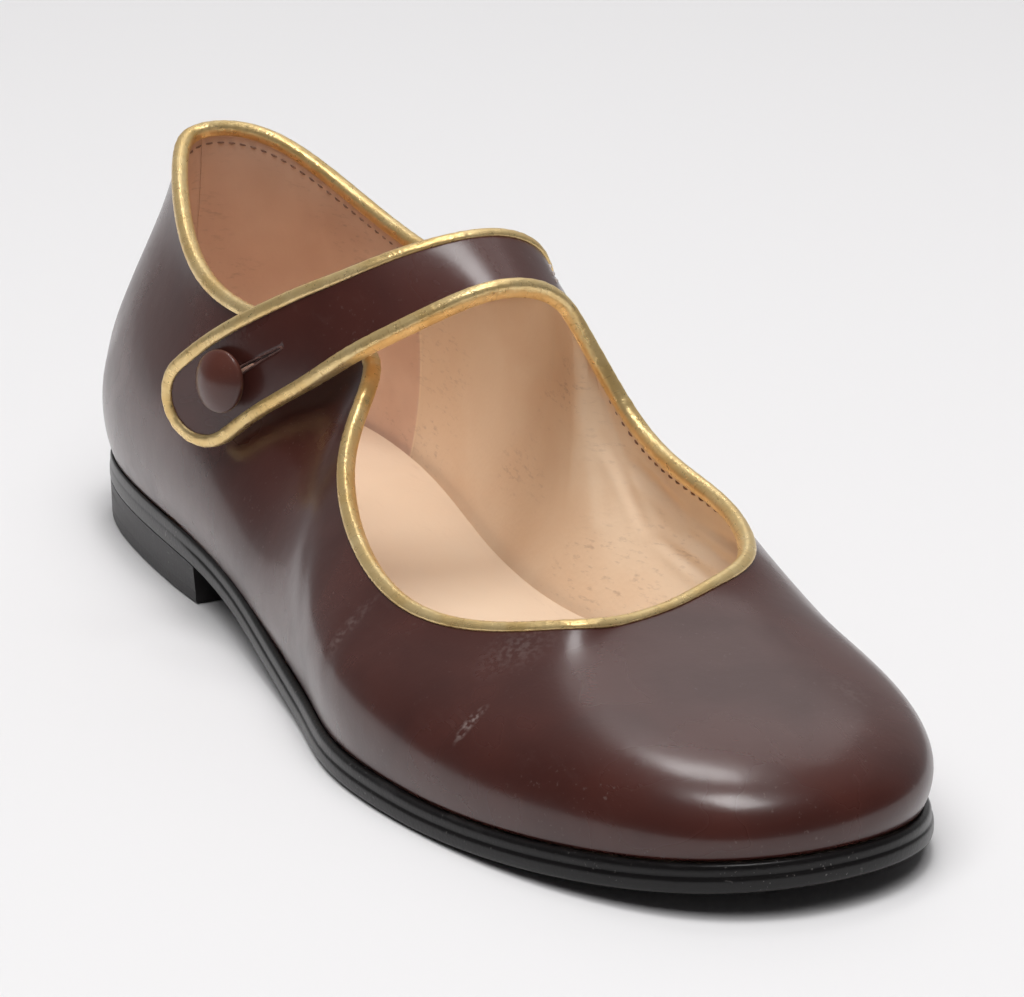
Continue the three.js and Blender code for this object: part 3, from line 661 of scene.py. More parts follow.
def strap_point(length, across, height):
    """Point of the band at a length along, across it and off its middle plane."""
    point, _, side, out = strap_frame(length)
    return point + side * np.asarray(across)[..., None] + out * np.asarray(height)[..., None]


def strap_half_width(length):
    into = np.maximum(length - (STRAP_LENGTH - STRAP_CORE), 0)
    return np.sqrt(np.maximum(STRAP_CORE ** 2 - into ** 2, 0))


print("strap:", round(STRAP_LENGTH, 1), "mm long")

# %% Top line with the strap's ear
def ear_corner(side):
    point, ahead, across, out = strap_frame(0.0)
    return point - ahead * CLEARANCE + across * side * STRAP_CORE + out * UPPER_WALL / 2


ear_back, ear_front = ear_corner(-1), ear_corner(1)
rim_line = spline(np.vstack([
    strap_point(STRAP_WIDTH / 2, -STRAP_CORE, UPPER_WALL / 2), ear_back, open_points, ear_front,
    strap_point(STRAP_WIDTH / 2, STRAP_CORE, UPPER_WALL / 2)]))


def top_line(u):
    """The bound rim from 0 to 19, then the ear's straight edge under the strap."""
    place = np.mod(u, len(ROWS))
    share = np.clip(place - EAR_FRONT, 0, 1)[..., None]
    straight = ear_front + (ear_back - ear_front) * share
    return np.where((place <= EAR_FRONT)[..., None], rim_line(np.minimum(place, EAR_FRONT) + 1), straight)


print("top line rises to", round(float(top_line(np.linspace(0, 19, 400))[:, 2].max()), 1), "mm")

# %% [markdown]
# ## From grids of points to pieces
# A skin is a grid of points joined by quads and then thickened inward. The helper makes one
# object in the frame's metres, smooth shaded, with its finish, and has it ride on the shoe.

# %% Helpers for meshes
def grid_quads(rows, columns, start=0, closed=False):
    """Quads of a grid stored row by row."""
    quads = []
    for i in range(rows if closed else rows - 1):
        here, after = start + i * columns, start + ((i + 1) % rows) * columns
        for j in range(columns - 1):
            quads.append((here + j, after + j, after + j + 1, here + j + 1))
    return quads


def make_piece(name, points, faces, finish, slot, replaces=(), weld=0.0, flip=False, marks=None):
    """New object on the shoe's one body. marks are named values, one for each point."""
    mesh = bpy.data.meshes.new(name)
    mesh.from_pydata([tuple(p) for p in to_frame(points)], [], faces)
    for label, values in (marks or {}).items():
        mesh.attributes.new(label, "FLOAT", "POINT").data.foreach_set("value", np.asarray(values, float))
    if weld or flip:
        work = bmesh.new()
        work.from_mesh(mesh)
        if weld:
            bmesh.ops.remove_doubles(work, verts=work.verts, dist=weld * 0.001)
        if flip:
            bmesh.ops.reverse_faces(work, faces=work.faces)
        work.to_mesh(mesh)
        work.free()
    mesh.shade_smooth()
    mesh.materials.append(finish)
    piece = bpy.data.objects.new(name, mesh)
    bpy.context.scene.collection.objects.link(piece)
    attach(piece, "root")
    if replaces:
        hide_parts(*replaces)
    print(name, "has", len(mesh.vertices), "points")
    return piece


def thicken(piece, thickness):
    """Skin to a shell: thickness in millimetres, against the face normals."""
    shell = piece.modifiers.new("thickness", "SOLIDIFY")
    shell.thickness = thickness * 0.001
    shell.offset = -1
    return shell


# %% [markdown]
# ## The leather skin
# On the real shoe the inner quarter grows into the strap in one cut of leather. So the skin is
# one mesh: a fine grid over the wall, and a grid along the strap that shares the ear's top
# edge with it. The solid has a seam of 0.3 mm there, which the skin closes. At the strap's
# start its face sinks 0.2 mm to meet the wall's.

# %% Stations of the skins
STEPS_PER_ROW = 22
STEPS_UP = 72
EAR_STEPS = 28
BACK_SEAM = 4.0
LINING_SEAMS = (1.74, 6.25)
SEAM_REACH = 0.05


def rows_with_seams():
    """Stations round the rim, closer together where a seam crosses."""
    even = np.linspace(0, EAR_FRONT, EAR_FRONT * STEPS_PER_ROW + 1)
    close = [row + np.linspace(-SEAM_REACH, SEAM_REACH, 11) for row in (BACK_SEAM, *LINING_SEAMS)]
    return np.unique(np.round(np.concatenate([even, *close]), 4))


u_stations = np.concatenate([
    rows_with_seams(), np.linspace(EAR_FRONT, EAR_FRONT + 1, EAR_STEPS + 1)[1:-1]])
w_stations = np.linspace(0, 1, STEPS_UP + 1)
TIP_START = STRAP_LENGTH - STRAP_CORE
strap_stations = np.concatenate([
    TIP_START * np.linspace(0, 1, 110) ** 1.15,
    TIP_START + STRAP_CORE * np.sin(np.linspace(0, math.pi / 2, 19)[1:])])
print(len(u_stations), "stations round,", len(strap_stations), "along the strap")

# %% Buttonhole
HOLE_START = BUTTON_LENGTH - 12.5
HOLE_END = BUTTON_LENGTH + 2.0
HOLE_EYE = 1.3
HOLE_BAND = 3.4


def hole_opening(length):
    """Half the width of the buttonhole: an eye at the button, then a slit that closes."""
    eye = np.exp(-((length - BUTTON_LENGTH) / 1.7) ** 4)
    slit = 0.12 + 0.5 * ease((length - HOLE_START) / (HOLE_END - HOLE_START))
    ends = ease((length - HOLE_START) / 1.2) * ease((HOLE_END - length) / 1.2)
    return (slit + (HOLE_EYE - slit) * eye) * ends + 0.03


def part_sides(length, across):
    """Columns of the strap moved apart along the buttonhole."""
    first = strap_half_width(length) * 2 / EAR_STEPS
    inside = (length > HOLE_START) & (length < HOLE_END)
    beyond = np.abs(across) - first
    moved = hole_opening(length) + beyond * (HOLE_BAND - hole_opening(length)) / (HOLE_BAND - first)
    near_hole = inside & (beyond > -0.01) & (beyond < HOLE_BAND - first)
    return np.where(near_hole, np.sign(across) * moved, across)


def skin_faces():
    """Quads of the wall grid and of the strap grid that shares the ear's edge."""
    columns = len(w_stations)
    faces = grid_quads(len(u_stations), columns, closed=True)
    first = len(u_stations) * columns
    for index, quad in enumerate(grid_quads(len(strap_stations), EAR_STEPS + 1, first)):
        station, column = divmod(index, EAR_STEPS)
        inside = HOLE_START < strap_stations[station] and strap_stations[station + 1] < HOLE_END
        if not (inside and column in (EAR_STEPS // 2 - 1, EAR_STEPS // 2)):
            faces.append(tuple(reversed(quad)))
    return faces


def strap_grid(height, swell_to):
    """Points across the strap, from its front edge to its back edge, at every station."""
    share = np.linspace(1, -1, EAR_STEPS + 1)
    length = strap_stations[:, None] + 0 * share
    grown = height + (swell_to - height) * ease(length / 14)
    start = -CLEARANCE * (1 - ease(length / 6))
    across = part_sides(length, share * strap_half_width(length))
    points = strap_point(length, across, grown)
    return points + strap_frame(length)[1] * start[..., None]


print("buttonhole:", round(HOLE_END - HOLE_START, 1), "mm long")

# %% Troughs in a skin
def distance_to(points, start, end):
    """Distance of each point to a segment, and its share along it."""
    way = end - start
    share = np.clip(((points - start) @ way) / (way @ way), 0, 1)
    return np.linalg.norm(points - start - share[..., None] * way, axis=-1), share


def crease_depth(points, creases):
    """How far the skin sinks (or, beside a crease, rises) at each point."""
    sunk = np.zeros(points.shape[:-1])
    for row_a, high_a, row_b, high_b, width, depth in creases:
        start, end = (wall(top_line, r, h) for r, h in ((row_a, high_a), (row_b, high_b)))
        gap, share = distance_to(points, start, end)
        fade = np.sin(math.pi * np.clip(0.12 + 0.76 * share, 0, 1))
        shape = np.exp(-(gap / width) ** 2) - 0.45 * np.exp(-((gap - 2 * width) / width) ** 2)
        sunk += depth * fade * shape
    return sunk


MM_PER_ROW = 38.0
NO_SEAM = 30.0


def past_seam(u, first, last):
    """Millimetres past the nearer of two seam rows, and negative outside them."""
    return MM_PER_ROW * np.minimum(u - first, last - u)


# %% Polished leather of the upper and strap
LEATHER_THICKNESS = 0.9
LEATHER_CREASES = [
    # row, height, row, height, width mm, depth mm
    (9.25, 0.34, 9.05, 0.66, 1.8, 0.09),
    (9.76, 0.3, 9.82, 0.8, 1.6, 0.1),
    (16.6, 0.3, 16.4, 0.62, 2.0, 0.14),
    (17.2, 0.34, 17.0, 0.6, 1.8, 0.12),
    (3.2, 0.2, 3.0, 0.5, 2.4, 0.12),
    (5.1, 0.25, 5.3, 0.5, 2.4, 0.12),
]
U, W = np.meshgrid(u_stations, w_stations, indexing="ij")
smooth_wall = wall(top_line, U, W)
normals = wall_normal(top_line, U, np.clip(W, 0.004, 0.996))
back_seam = 0.22 * np.exp(-(past_seam(U, BACK_SEAM, NO_SEAM) / 0.35) ** 2)
leather_sink = (crease_depth(smooth_wall, LEATHER_CREASES) + back_seam) * ease((1 - W) / 0.05)
outer_wall = smooth_wall - normals * leather_sink[..., None]
outer_strap = strap_grid(UPPER_WALL / 2, STRAP_THICKNESS / 2)
upper_leather = make_piece(
    "upper_leather", np.vstack([outer_wall.reshape(-1, 3), outer_strap.reshape(-1, 3)]), skin_faces(),
    polished_leather, "upper", replaces=("upper", "strap"), weld=0.02)
thicken(upper_leather, LEATHER_THICKNESS)

# %% [markdown]
# ## The lining skin
# The lining follows the inside of the wall and the underside of the strap. It isn't glued
# everywhere, so it creases where the foot bends it. Each crease is a soft trough along a
# short line on the skin, given by its two ends in row and height, its width and its depth,
# with a low ridge beside it as real leather has.

# %% Creases of the lining
LINING_CREASES = [
    # row, height, row, height, width mm, depth mm
    (18.7, 0.80, 17.9, 0.62, 1.1, 0.5),
    (18.4, 0.60, 17.7, 0.46, 1.0, 0.45),
    (18.9, 0.66, 18.3, 0.36, 1.2, 0.4),
    (17.8, 0.74, 17.0, 0.68, 1.4, 0.6),
    (17.5, 0.44, 16.9, 0.34, 0.9, 0.4),
    (17.1, 0.56, 16.4, 0.44, 1.1, 0.5),
    (16.8, 0.66, 15.9, 0.64, 1.3, 0.5),
    (16.3, 0.50, 15.7, 0.36, 0.9, 0.4),
    (15.8, 0.58, 15.2, 0.48, 1.0, 0.4),
]
print("creases in the lining:", len(LINING_CREASES))

# %% Lining of the upper and strap
def lining_relief():
    """How far the lining sinks: its creases, the back seam and the lap of the heel lining."""
    behind = past_seam(U, *LINING_SEAMS)
    lap = 0.28 * ease((behind + 0.2) / 0.4) * np.exp(-np.maximum(behind, 0) / 7)
    groove = 0.16 * np.exp(-((behind + 0.35) / 0.3) ** 2)
    seam = 0.25 * np.exp(-(past_seam(U, BACK_SEAM, NO_SEAM) / 0.35) ** 2)
    return (crease_depth(smooth_wall, LINING_CREASES) + groove + seam - lap) * ease((1 - W) / 0.05), behind


sink, behind_seam = lining_relief()
LINING_THICKNESS = 0.6
LINING_DEPTH = UPPER_WALL - 0.15
inner_wall = smooth_wall - normals * (LINING_DEPTH - sink)[..., None]
inner_strap = strap_grid(-UPPER_WALL / 2, -STRAP_THICKNESS / 2)
not_heel = np.full(inner_strap[..., 0].size, -5.0)
lining = make_piece(
    "lining", np.vstack([inner_wall.reshape(-1, 3), inner_strap.reshape(-1, 3)]), skin_faces(),
    lining_leather, "lining", weld=0.02, flip=True,
    marks={"heel_lining": np.concatenate([behind_seam.ravel(), not_heel])})
thicken(lining, LINING_THICKNESS)

# %% [markdown]
# ## Sole, heel and insole
# These are plates cut to the last's outline, each level standing a little in or out. The solid
# has them with a few facets. Here the outline gets 160 stations and the edge gets fillets,
# so the sole's two bands catch one clean line of light each.

# %% Helper for plates
SOLE_MARGIN_HEEL = 0.6
SOLE_MARGIN_FRONT = 1.7


def sole_margin(x):
    """How far the sole stands out from the last."""
    step = SOLE_MARGIN_FRONT - SOLE_MARGIN_HEEL
    return SOLE_MARGIN_HEEL + step * ease((x - BREAST_X) / BREAST_X)


def outline_sides(grow):
    """Outer and inner edge of the outline grown by grow(x), both heel to toe."""
    u = np.linspace(0, len(ROWS), 1440, endpoint=False)
    loop = foot_line(u)
    loop = loop + foot_normal(u)[:, :2] * np.asarray(grow(loop[:, 0]))[..., None]
    heel = int(loop[:, 0].argmin())
    turned = np.vstack([loop[heel:], loop[:heel + 1]])
    toe = int(turned[:, 0].argmax())
    return turned[:toe + 1], turned[toe:][::-1]


def plate(levels, end_x=None, steps=160, columns=16, crown=None):
    """Points and faces of a closed plate. levels are (grow(x), height(x)) from low to high."""
    points, rings = [], []
    turn = math.pi if end_x is None else math.pi / 2
    for grow, height in levels:
        outer, inner = outline_sides(grow)
        start = outer[0, 0]
        stop = outer[-1, 0] if end_x is None else end_x
        share = (1 - np.cos(turn * np.linspace(0, 1, steps + 1))) / (1 - math.cos(turn))
        x = start + (stop - start) * share
        y_out, y_in = (np.interp(x, side[:, 0], side[:, 1]) for side in (outer, inner))
        rings.append((x, y_out, y_in, height(x)))
    faces = []
    share = np.linspace(0, 1, columns + 1)

    def sheet(ring, lift):
        x, y_out, y_in, z = (value[:, None] for value in ring)
        y = y_out + (y_in - y_out) * share
        grid = np.stack([x + 0 * y, y, z + lift(x, share) + 0 * y], -1)
        points.append(grid.reshape(-1, 3))
        return grid_quads(steps + 1, columns + 1, sum(len(p) for p in points[:-1]))

    faces += sheet(rings[0], lambda x, s: 0)
    faces += [tuple(reversed(q)) for q in sheet(rings[-1], crown or (lambda x, s: 0))]
    for low, high in zip(rings, rings[1:]):
        for side in (1, 2):
            first = sum(len(p) for p in points)
            strip = [np.stack([ring[0], ring[side], ring[3]], -1) for ring in (low, high)]
            points.append(np.stack(strip, 1).reshape(-1, 3))
            quads = grid_quads(steps + 1, 2, first)
            faces += quads if side == 1 else [tuple(reversed(q)) for q in quads]
        if end_x is not None:
            first = sum(len(p) for p in points)
            ends = [np.stack([0 * share + ring[0][-1], ring[1][-1] + (ring[2][-1] - ring[1][-1]) * share,
                              0 * share + ring[3][-1]], -1) for ring in (low, high)]
            points.append(np.stack(ends, 1).reshape(-1, 3))
            faces += grid_quads(columns + 1, 2, first)
    return np.vstack(points), faces


def edge_levels(profile, base, height):
    """Levels from (out mm, share of height). Over the heel the edge is nearly flat."""
    return [((lambda x, out=out: sole_margin(x) + out * (0.3 + 0.7 * ease((x - SEAT_FLAT) / 22))),
             (lambda x, s=s: base(x) + s * height(x))) for out, s in profile]


def crisp(piece, angle=50):
    """Smooth faces but keep real corners sharp."""
    piece.data.shade_smooth()
    piece.data.set_sharp_from_angle(angle=math.radians(angle))


print("sole stands out", sole_margin(0.0), "to", sole_margin(LAST_LENGTH), "mm")

# %% Outsole
SOLE_EDGE = [
    (-0.95, 0.0), (-0.4, 0.03), (-0.12, 0.08), (0.0, 0.17), (0.02, 0.3), (0.0, 0.42), (-0.06, 0.5),
    (-0.18, 0.54), (-0.32, 0.57), (-0.38, 0.61), (-0.38, 0.7), (-0.42, 0.82), (-0.6, 0.92),
    (-0.9, 0.98), (-1.5, 1.0),
]
outsole = make_piece(
    "outsole_edge", *plate(edge_levels(SOLE_EDGE, sole_bottom, lambda x: SOLE_THICKNESS + 0 * x)),
    sole_rubber, "sole", replaces=("outsole",), weld=0.005)
crisp(outsole)

# %% Heel block and its top piece
HEEL_EDGE = [
    (-1.55, 0.0), (-1.12, 0.03), (-0.93, 0.1), (-0.86, 0.26), (-0.85, 0.29), (-0.9, 0.3), (-0.9, 0.315),
    (-0.82, 0.325), (-0.7, 0.5), (-0.5, 0.75), (-0.32, 0.97), (-0.4, 1.0),
]
heel_block = make_piece(
    "heel_block", *plate(edge_levels(HEEL_EDGE, lambda x: 0 * x, lambda x: sole_bottom(x) - 0.02),
                         end_x=BREAST_X, steps=80),
    heel_rubber, "heel", replaces=("heel",), weld=0.005)
crisp(heel_block)

# %% Insole
def insole_crown(x, share):
    """The sock curls up a little where it meets the wall."""
    side = np.abs(2 * share - 1)
    return 0.55 * side ** 10


def insole_levels():
    inset = -(UPPER_WALL + 0.1)
    return [((lambda x, out=out: inset + out + 0 * x), (lambda x, up=up: sole_top(x) + CLEARANCE + up))
            for out, up in ((0, 0), (0, 2.0), (-0.15, 2.4), (-0.5, 2.5))]


insole = make_piece("insole_sock", *plate(insole_levels(), crown=insole_crown, columns=40),
                    insole_leather, "lining", replaces=("insole",), weld=0.005)
crisp(insole, 70)

# %% [markdown]
# ## The binding
# One strip of foiled leather is folded over the raw edge and stitched. It could be a curve
# with a bevel, but a curve turns its section freely at tight bends. So the section is swept by
# hand: at every half millimetre it has the edge's point, the way out of the leather's face
# and the way off the edge. It puckers where the edge bends tightly.

# %% Edge that the binding follows
def edge_of_rim(u):
    """Way out of the wall's face at its rim."""
    along = unit(rim_line(u + 1.001) - rim_line(u + 0.999))
    up = top_line(u) - wall(top_line, u, 0.9)
    return unit(np.cross(along, up))


def binding_path():
    """Points, face ways and thicknesses: the rim, then once round the strap's free edge."""
    u = np.linspace(0, EAR_FRONT, 800)
    face = edge_of_rim(np.clip(u, 0.05, EAR_FRONT - 0.05))
    blend_in = (ease(u / 0.6) * ease((EAR_FRONT - u) / 0.6))[:, None]
    face = unit(face * blend_in + strap_frame(0.0)[3] * (1 - blend_in))
    rim = rim_line(u + 1) - face * UPPER_WALL / 2
    straight = np.linspace(0.4, TIP_START, 240)
    front = strap_point(straight, STRAP_CORE, 0.0)
    back = strap_point(straight, -STRAP_CORE, 0.0)[::-1]
    out = strap_frame(straight)[3]
    turn = np.linspace(0, math.pi, 60)[1:-1]
    lengths = TIP_START + STRAP_CORE * np.sin(turn)
    tip = strap_point(lengths, STRAP_CORE * np.cos(turn), 0.0)
    points = np.vstack([rim, front, tip, back])
    faces = np.vstack([face, out, strap_frame(lengths)[3], out[::-1]])
    thick = np.concatenate([0 * u, ease(straight / 12), 0 * turn + 1, ease(straight[::-1] / 12)])
    return points, faces, UPPER_WALL + (STRAP_THICKNESS - UPPER_WALL) * thick


def even_loop(points, step, *values):
    """Closed path and its values at even steps."""
    ring = np.vstack([points, points[:1]])
    reach = np.concatenate([[0], np.cumsum(np.linalg.norm(np.diff(ring, axis=0), axis=1))])
    count = int(reach[-1] / step)
    at = np.linspace(0, reach[-1], count, endpoint=False)

    def pick(value):
        value = np.concatenate([value, value[:1]])
        columns = value.reshape(len(value), -1).T
        return np.stack([np.interp(at, reach, column) for column in columns], -1)

    return [at, pick(points)] + [pick(value) for value in values]


def smooth_loop(values, reach):
    """Moving average round the loop, run three times."""
    for _ in range(3):
        total = sum(np.roll(values, k, axis=0) for k in range(-reach, reach + 1))
        values = total / (2 * reach + 1)
    return values


STRIP_STEP = 0.45
edge_points, edge_faces, edge_thick = binding_path()
strip_at, strip_points, strip_faces, strip_thick = even_loop(
    edge_points, STRIP_STEP, edge_faces, edge_thick)
strip_points = smooth_loop(strip_points, 2)
strip_along = unit(np.roll(strip_points, -1, axis=0) - np.roll(strip_points, 1, axis=0))
strip_faces = smooth_loop(strip_faces, 4)
strip_faces = unit(strip_faces - strip_along * (strip_faces * strip_along).sum(-1, keepdims=True))
strip_out = np.cross(strip_faces, strip_along)
print("binding:", round(strip_at[-1]), "mm in", len(strip_at), "steps")

# %% Fold of the binding
FOLD = [
    # a across beyond half the edge's thickness, b off the edge, in millimetres
    (-0.25, -1.35), (0.02, -1.56), (0.28, -1.52), (0.48, -1.26), (0.58, -0.85), (0.6, -0.35), (0.5, 0.12),
    (0.28, 0.5), (-0.08, 0.74),
]


def fold_section(thick):
    """Closed section round the edge, for edges of the given thickness."""
    half = thick / 2
    side = np.array([(half + a, b) for a, b in FOLD])
    crest = np.array([(half * 0.42, 0.87), (0.0, 0.9)])
    right = np.vstack([side, crest])
    left = right[:-1][::-1] * [-1, 1]
    return np.vstack([right, left])


def wavy(at, seed, scale, count=24):
    """Smooth irregular wave along the loop, between about -1 and 1, that closes on itself."""
    rng = np.random.default_rng(seed)
    total = strip_at[-1] + STRIP_STEP
    waves = rng.integers(int(total / scale * 0.5), int(total / scale * 1.5), count)
    phase = rng.uniform(0, 2 * math.pi, count)
    return np.sin(2 * math.pi * at[:, None] * waves / total + phase).sum(1) / math.sqrt(count)


def binding_mesh():
    """The fold swept round the edge, with ripples that grow where the edge bends."""
    sections = np.array([fold_section(t) for t in strip_thick[:, 0]])
    sides = sections.shape[1]
    change = np.linalg.norm(np.roll(strip_along, -3, 0) - np.roll(strip_along, 3, 0), axis=1)
    bend = change / (6 * STRIP_STEP)
    pucker = 0.014 + 0.03 * np.clip(smooth_loop(bend, 6) / 0.12, 0, 1)
    middle = sections.mean(1, keepdims=True)
    angle = np.linspace(0, 1, sides)
    ripple = 0
    for k, centre in enumerate((0.15, 0.4, 0.6, 0.85)):
        wave = wavy(strip_at + 1.3 * math.sin(3 * k), 7 + k, 2.4)[:, None]
        ripple = ripple + wave * np.exp(-((angle - centre) / 0.2) ** 2)
    swelling = 1 + pucker[:, None] * ripple * 0.5
    sections = middle + (sections - middle) * swelling[..., None]
    points = (strip_points[:, None] + sections[..., :1] * strip_faces[:, None]
              + sections[..., 1:] * strip_out[:, None])
    faces = grid_quads(len(strip_at), sides, closed=True)
    faces += [(i * sides + sides - 1, ((i + 1) % len(strip_at)) * sides + sides - 1,
               ((i + 1) % len(strip_at)) * sides, i * sides) for i in range(len(strip_at))]
    return points.reshape(-1, 3), faces, sides


binding_points, binding_faces, binding_sides = binding_mesh()
binding = make_piece("binding", binding_points, binding_faces, gold_foil, "binding",
                     replaces=("topline_binding", "strap_binding"))

# %% UV map of the strip, in millimetres
ACROSS_STEP = 0.6


def lay_strip(piece, sides):
    """Give each corner its distance along and across the strip."""
    layer = piece.data.uv_layers.new(name="strip")
    corners = np.zeros(len(piece.data.loops), int)
    piece.data.loops.foreach_get("vertex_index", corners)
    along = corners // sides * STRIP_STEP
    across = corners % sides * ACROSS_STEP
    wrapped = np.zeros(len(corners), bool)
    for polygon in piece.data.polygons:
        start = polygon.loop_start
        some = along[start:start + 4]
        # A face over the loop's join has one edge at the strip's end and one at its start
        if some.max() - some.min() > 5:
            wrapped[start:start + 4] = some < 5
    along = along + wrapped * len(strip_at) * STRIP_STEP
    layer.data.foreach_set("uv", np.stack([along, across], -1).ravel())


lay_strip(binding, binding_sides)
print("strip laid out:", binding.data.uv_layers[0].name)

# %% [markdown]
# ## Buttonhole edge, button and thread
# The buttonhole is a slit with an eye, and its raw edge is whipped with thread. The button is a
# metal shell with leather pulled over it, so it is a turned form with a rolled edge and faint
# puckers under it. It hangs on a wound thread shank and tips a little, as sewn buttons do.
# Stitches are short bent rods, each pressed into the leather at both ends.

# %% Tubes and turned forms
def tube(points, faces_out, radii, sides=10, closed=True):
    """Tube round a path. radii are (across the face's way, along it) for the section."""
    points, faces_out = np.asarray(points, float), np.asarray(faces_out, float)
    if closed:
        along = unit(np.roll(points, -1, 0) - np.roll(points, 1, 0))
    else:
        along = unit(np.gradient(points, axis=0))
    side = unit(np.cross(faces_out, along))
    out = np.cross(along, side)
    turn = np.linspace(0, 2 * math.pi, sides, endpoint=False)
    wide, high = (np.broadcast_to(np.asarray(r, float), len(points))[:, None, None] for r in radii)
    ring = (points[:, None] + side[:, None] * np.cos(turn)[None, :, None] * wide
            + out[:, None] * np.sin(turn)[None, :, None] * high)
    quads = []
    for i in range(len(points) if closed else len(points) - 1):
        here, after = i * sides, ((i + 1) % len(points)) * sides
        quads += [(here + j, after + j, after + (j + 1) % sides, here + (j + 1) % sides)
                  for j in range(sides)]
    if not closed:
        quads += [tuple(range(sides)), tuple(range((len(points) - 1) * sides, len(points) * sides))[::-1]]
    return ring.reshape(-1, 3), [tuple(reversed(q)) for q in quads]


def joined(parts):
    """Several meshes as one."""
    points, faces, first = [], [], 0
    for some_points, some_faces in parts:
        points.append(some_points)
        faces += [tuple(first + k for k in face) for face in some_faces]
        first += len(some_points)
    return np.vstack(points), faces


def turned(profile, centre, axis, sides=64, ripple=None):
    """Form turned about an axis from (radius, height) pairs, first and last on the axis."""
    axis = unit(np.asarray(axis, float))
    first = unit(np.cross(axis, [0.3, 0.2, 0.93]))
    second = np.cross(axis, first)
    turn = np.linspace(0, 2 * math.pi, sides, endpoint=False)
    points = []
    for k, (radius, height) in enumerate(profile):
        grown = radius + (ripple(turn, k) if ripple is not None else 0 * turn)
        points.append(centre + axis * height + np.outer(grown * np.cos(turn), first)
                      + np.outer(grown * np.sin(turn), second))
    faces = []
    for k in range(len(profile) - 1):
        low, high = k * sides, (k + 1) * sides
        faces += [(low + j, low + (j + 1) % sides, high + (j + 1) % sides, high + j) for j in range(sides)]
    last = (len(profile) - 1) * sides
    faces += [tuple(range(sides))[::-1], tuple(range(last, last + sides))]
    return np.vstack(points), faces


# %% Whipped edge of the buttonhole
def hole_edge():
    lengths = np.linspace(HOLE_START + 0.15, HOLE_END - 0.15, 90)
    width = hole_opening(lengths) + 0.1
    loop_length = np.concatenate([lengths, lengths[::-1]])
    loop_across = np.concatenate([width, -width[::-1]])
    rng = np.random.default_rng(11)
    count = len(loop_length)
    whip = 1 + 0.13 * np.sin(np.arange(count) * 2.1) + 0.05 * rng.standard_normal(count)
    points = strap_point(loop_length, loop_across, 0.0)
    half = STRAP_THICKNESS / 2 + 0.16
    return tube(points, strap_frame(loop_length)[3], (0.3 * whip, half * whip ** 0.3), sides=12)


make_piece("buttonhole_edge", *hole_edge(), buttonhole_thread, "upper", weld=0.01)

# %% Button
BUTTON_RADIUS = 5.5
BUTTON_HEIGHT = 3.2
BUTTON_TIP = 0.3
button_spot, _, _, strap_out = strap_frame(BUTTON_LENGTH)
BUTTON_WAY = unit(strap_out * BUTTON_TIP + np.array([0.25, -0.95, 0.18]) * (1 - BUTTON_TIP))
button_seat = button_spot + strap_out * (STRAP_THICKNESS / 2 + CLEARANCE + 1.35)


def button_profile():
    """Back, rolled edge and shallow dome of a covered button."""
    back = [(0.01, 0.35), (2.2, 0.3), (3.9, 0.12), (4.6, 0.0)]
    turn = np.linspace(-math.pi / 2, math.pi / 4.2, 10)
    edge = [(BUTTON_RADIUS - 0.9 + 0.9 * math.cos(a), 0.8 + 0.8 * math.sin(a)) for a in turn]
    rise = np.linspace(0, 1, 16)[1:]
    start_r, start_h = edge[-1]
    dome = [(max(start_r * (1 - t), 0.01), start_h + (BUTTON_HEIGHT - start_h) * (1 - (1 - t) ** 1.9))
            for t in rise]
    return back + edge + dome


def button_puckers(turn, level):
    """Leather gathered under the edge: strong at the back, gone on the dome."""
    strength = 0.09 * math.exp(-((level - 3.5) / 2.2) ** 2)
    return strength * (np.sin(23 * turn) + 0.6 * np.sin(41 * turn + 1.0))


make_piece("button_cover", *turned(button_profile(), button_seat, BUTTON_WAY, 96, button_puckers),
           button_leather, "upper", replaces=("button",))

# %% Wound shank of the button
SHANK_RADIUS = 0.86
SHANK_THREAD = 0.24
SHANK_TURNS = 26


def shank_path():
    """Thread wound round the shank from the leather of the quarter to the button's back."""
    bow = STRAP_RESTS[1, 2] * QUARTER_HEIGHT
    low = button_spot - strap_out * (2 * PROUD + CLEARANCE + STRAP_THICKNESS / 2 + bow)
    high = button_seat + BUTTON_WAY * 0.4
    turns = np.linspace(0, SHANK_TURNS, 30 * SHANK_TURNS)
    way = unit(high - low)
    first = unit(np.cross(way, UP))
    second = np.cross(way, first)
    core = low + (high - low) * (turns / SHANK_TURNS)[:, None]
    angle = 2 * math.pi * turns[:, None]
    ring = np.cos(angle) * first + np.sin(angle) * second
    return core + ring * SHANK_RADIUS, ring


shank = tube(*shank_path(), (SHANK_THREAD, SHANK_THREAD), sides=6, closed=False)
make_piece("button_shank", *shank, brown_thread, "upper")

# %% Stitches
def stitch_row(points, outs, length, gap, radius, lift=0.0, jitter=0.0, seed=5):
    """Stitches along a path: each a bent rod with its ends pressed in."""
    reach = np.concatenate([[0], np.cumsum(np.linalg.norm(np.diff(points, axis=0), axis=1))])
    rng = np.random.default_rng(seed)
    parts = []
    starts = np.arange(gap, reach[-1] - length, length + gap)
    for start in starts:
        share = np.linspace(0, 1, 7)
        at = start + share * length + jitter * rng.standard_normal()
        path = np.stack([np.interp(at, reach, points[:, k]) for k in range(3)], -1)
        out = unit(np.stack([np.interp(at, reach, outs[:, k]) for k in range(3)], -1))
        path = path + out * (lift + radius * (1.5 * np.sin(math.pi * share) - 0.9))[:, None]
        thin = radius * (0.55 + 0.45 * np.sin(math.pi * share))
        parts.append(tube(path, out, (thin, thin), sides=6, closed=False))
    return joined(parts)


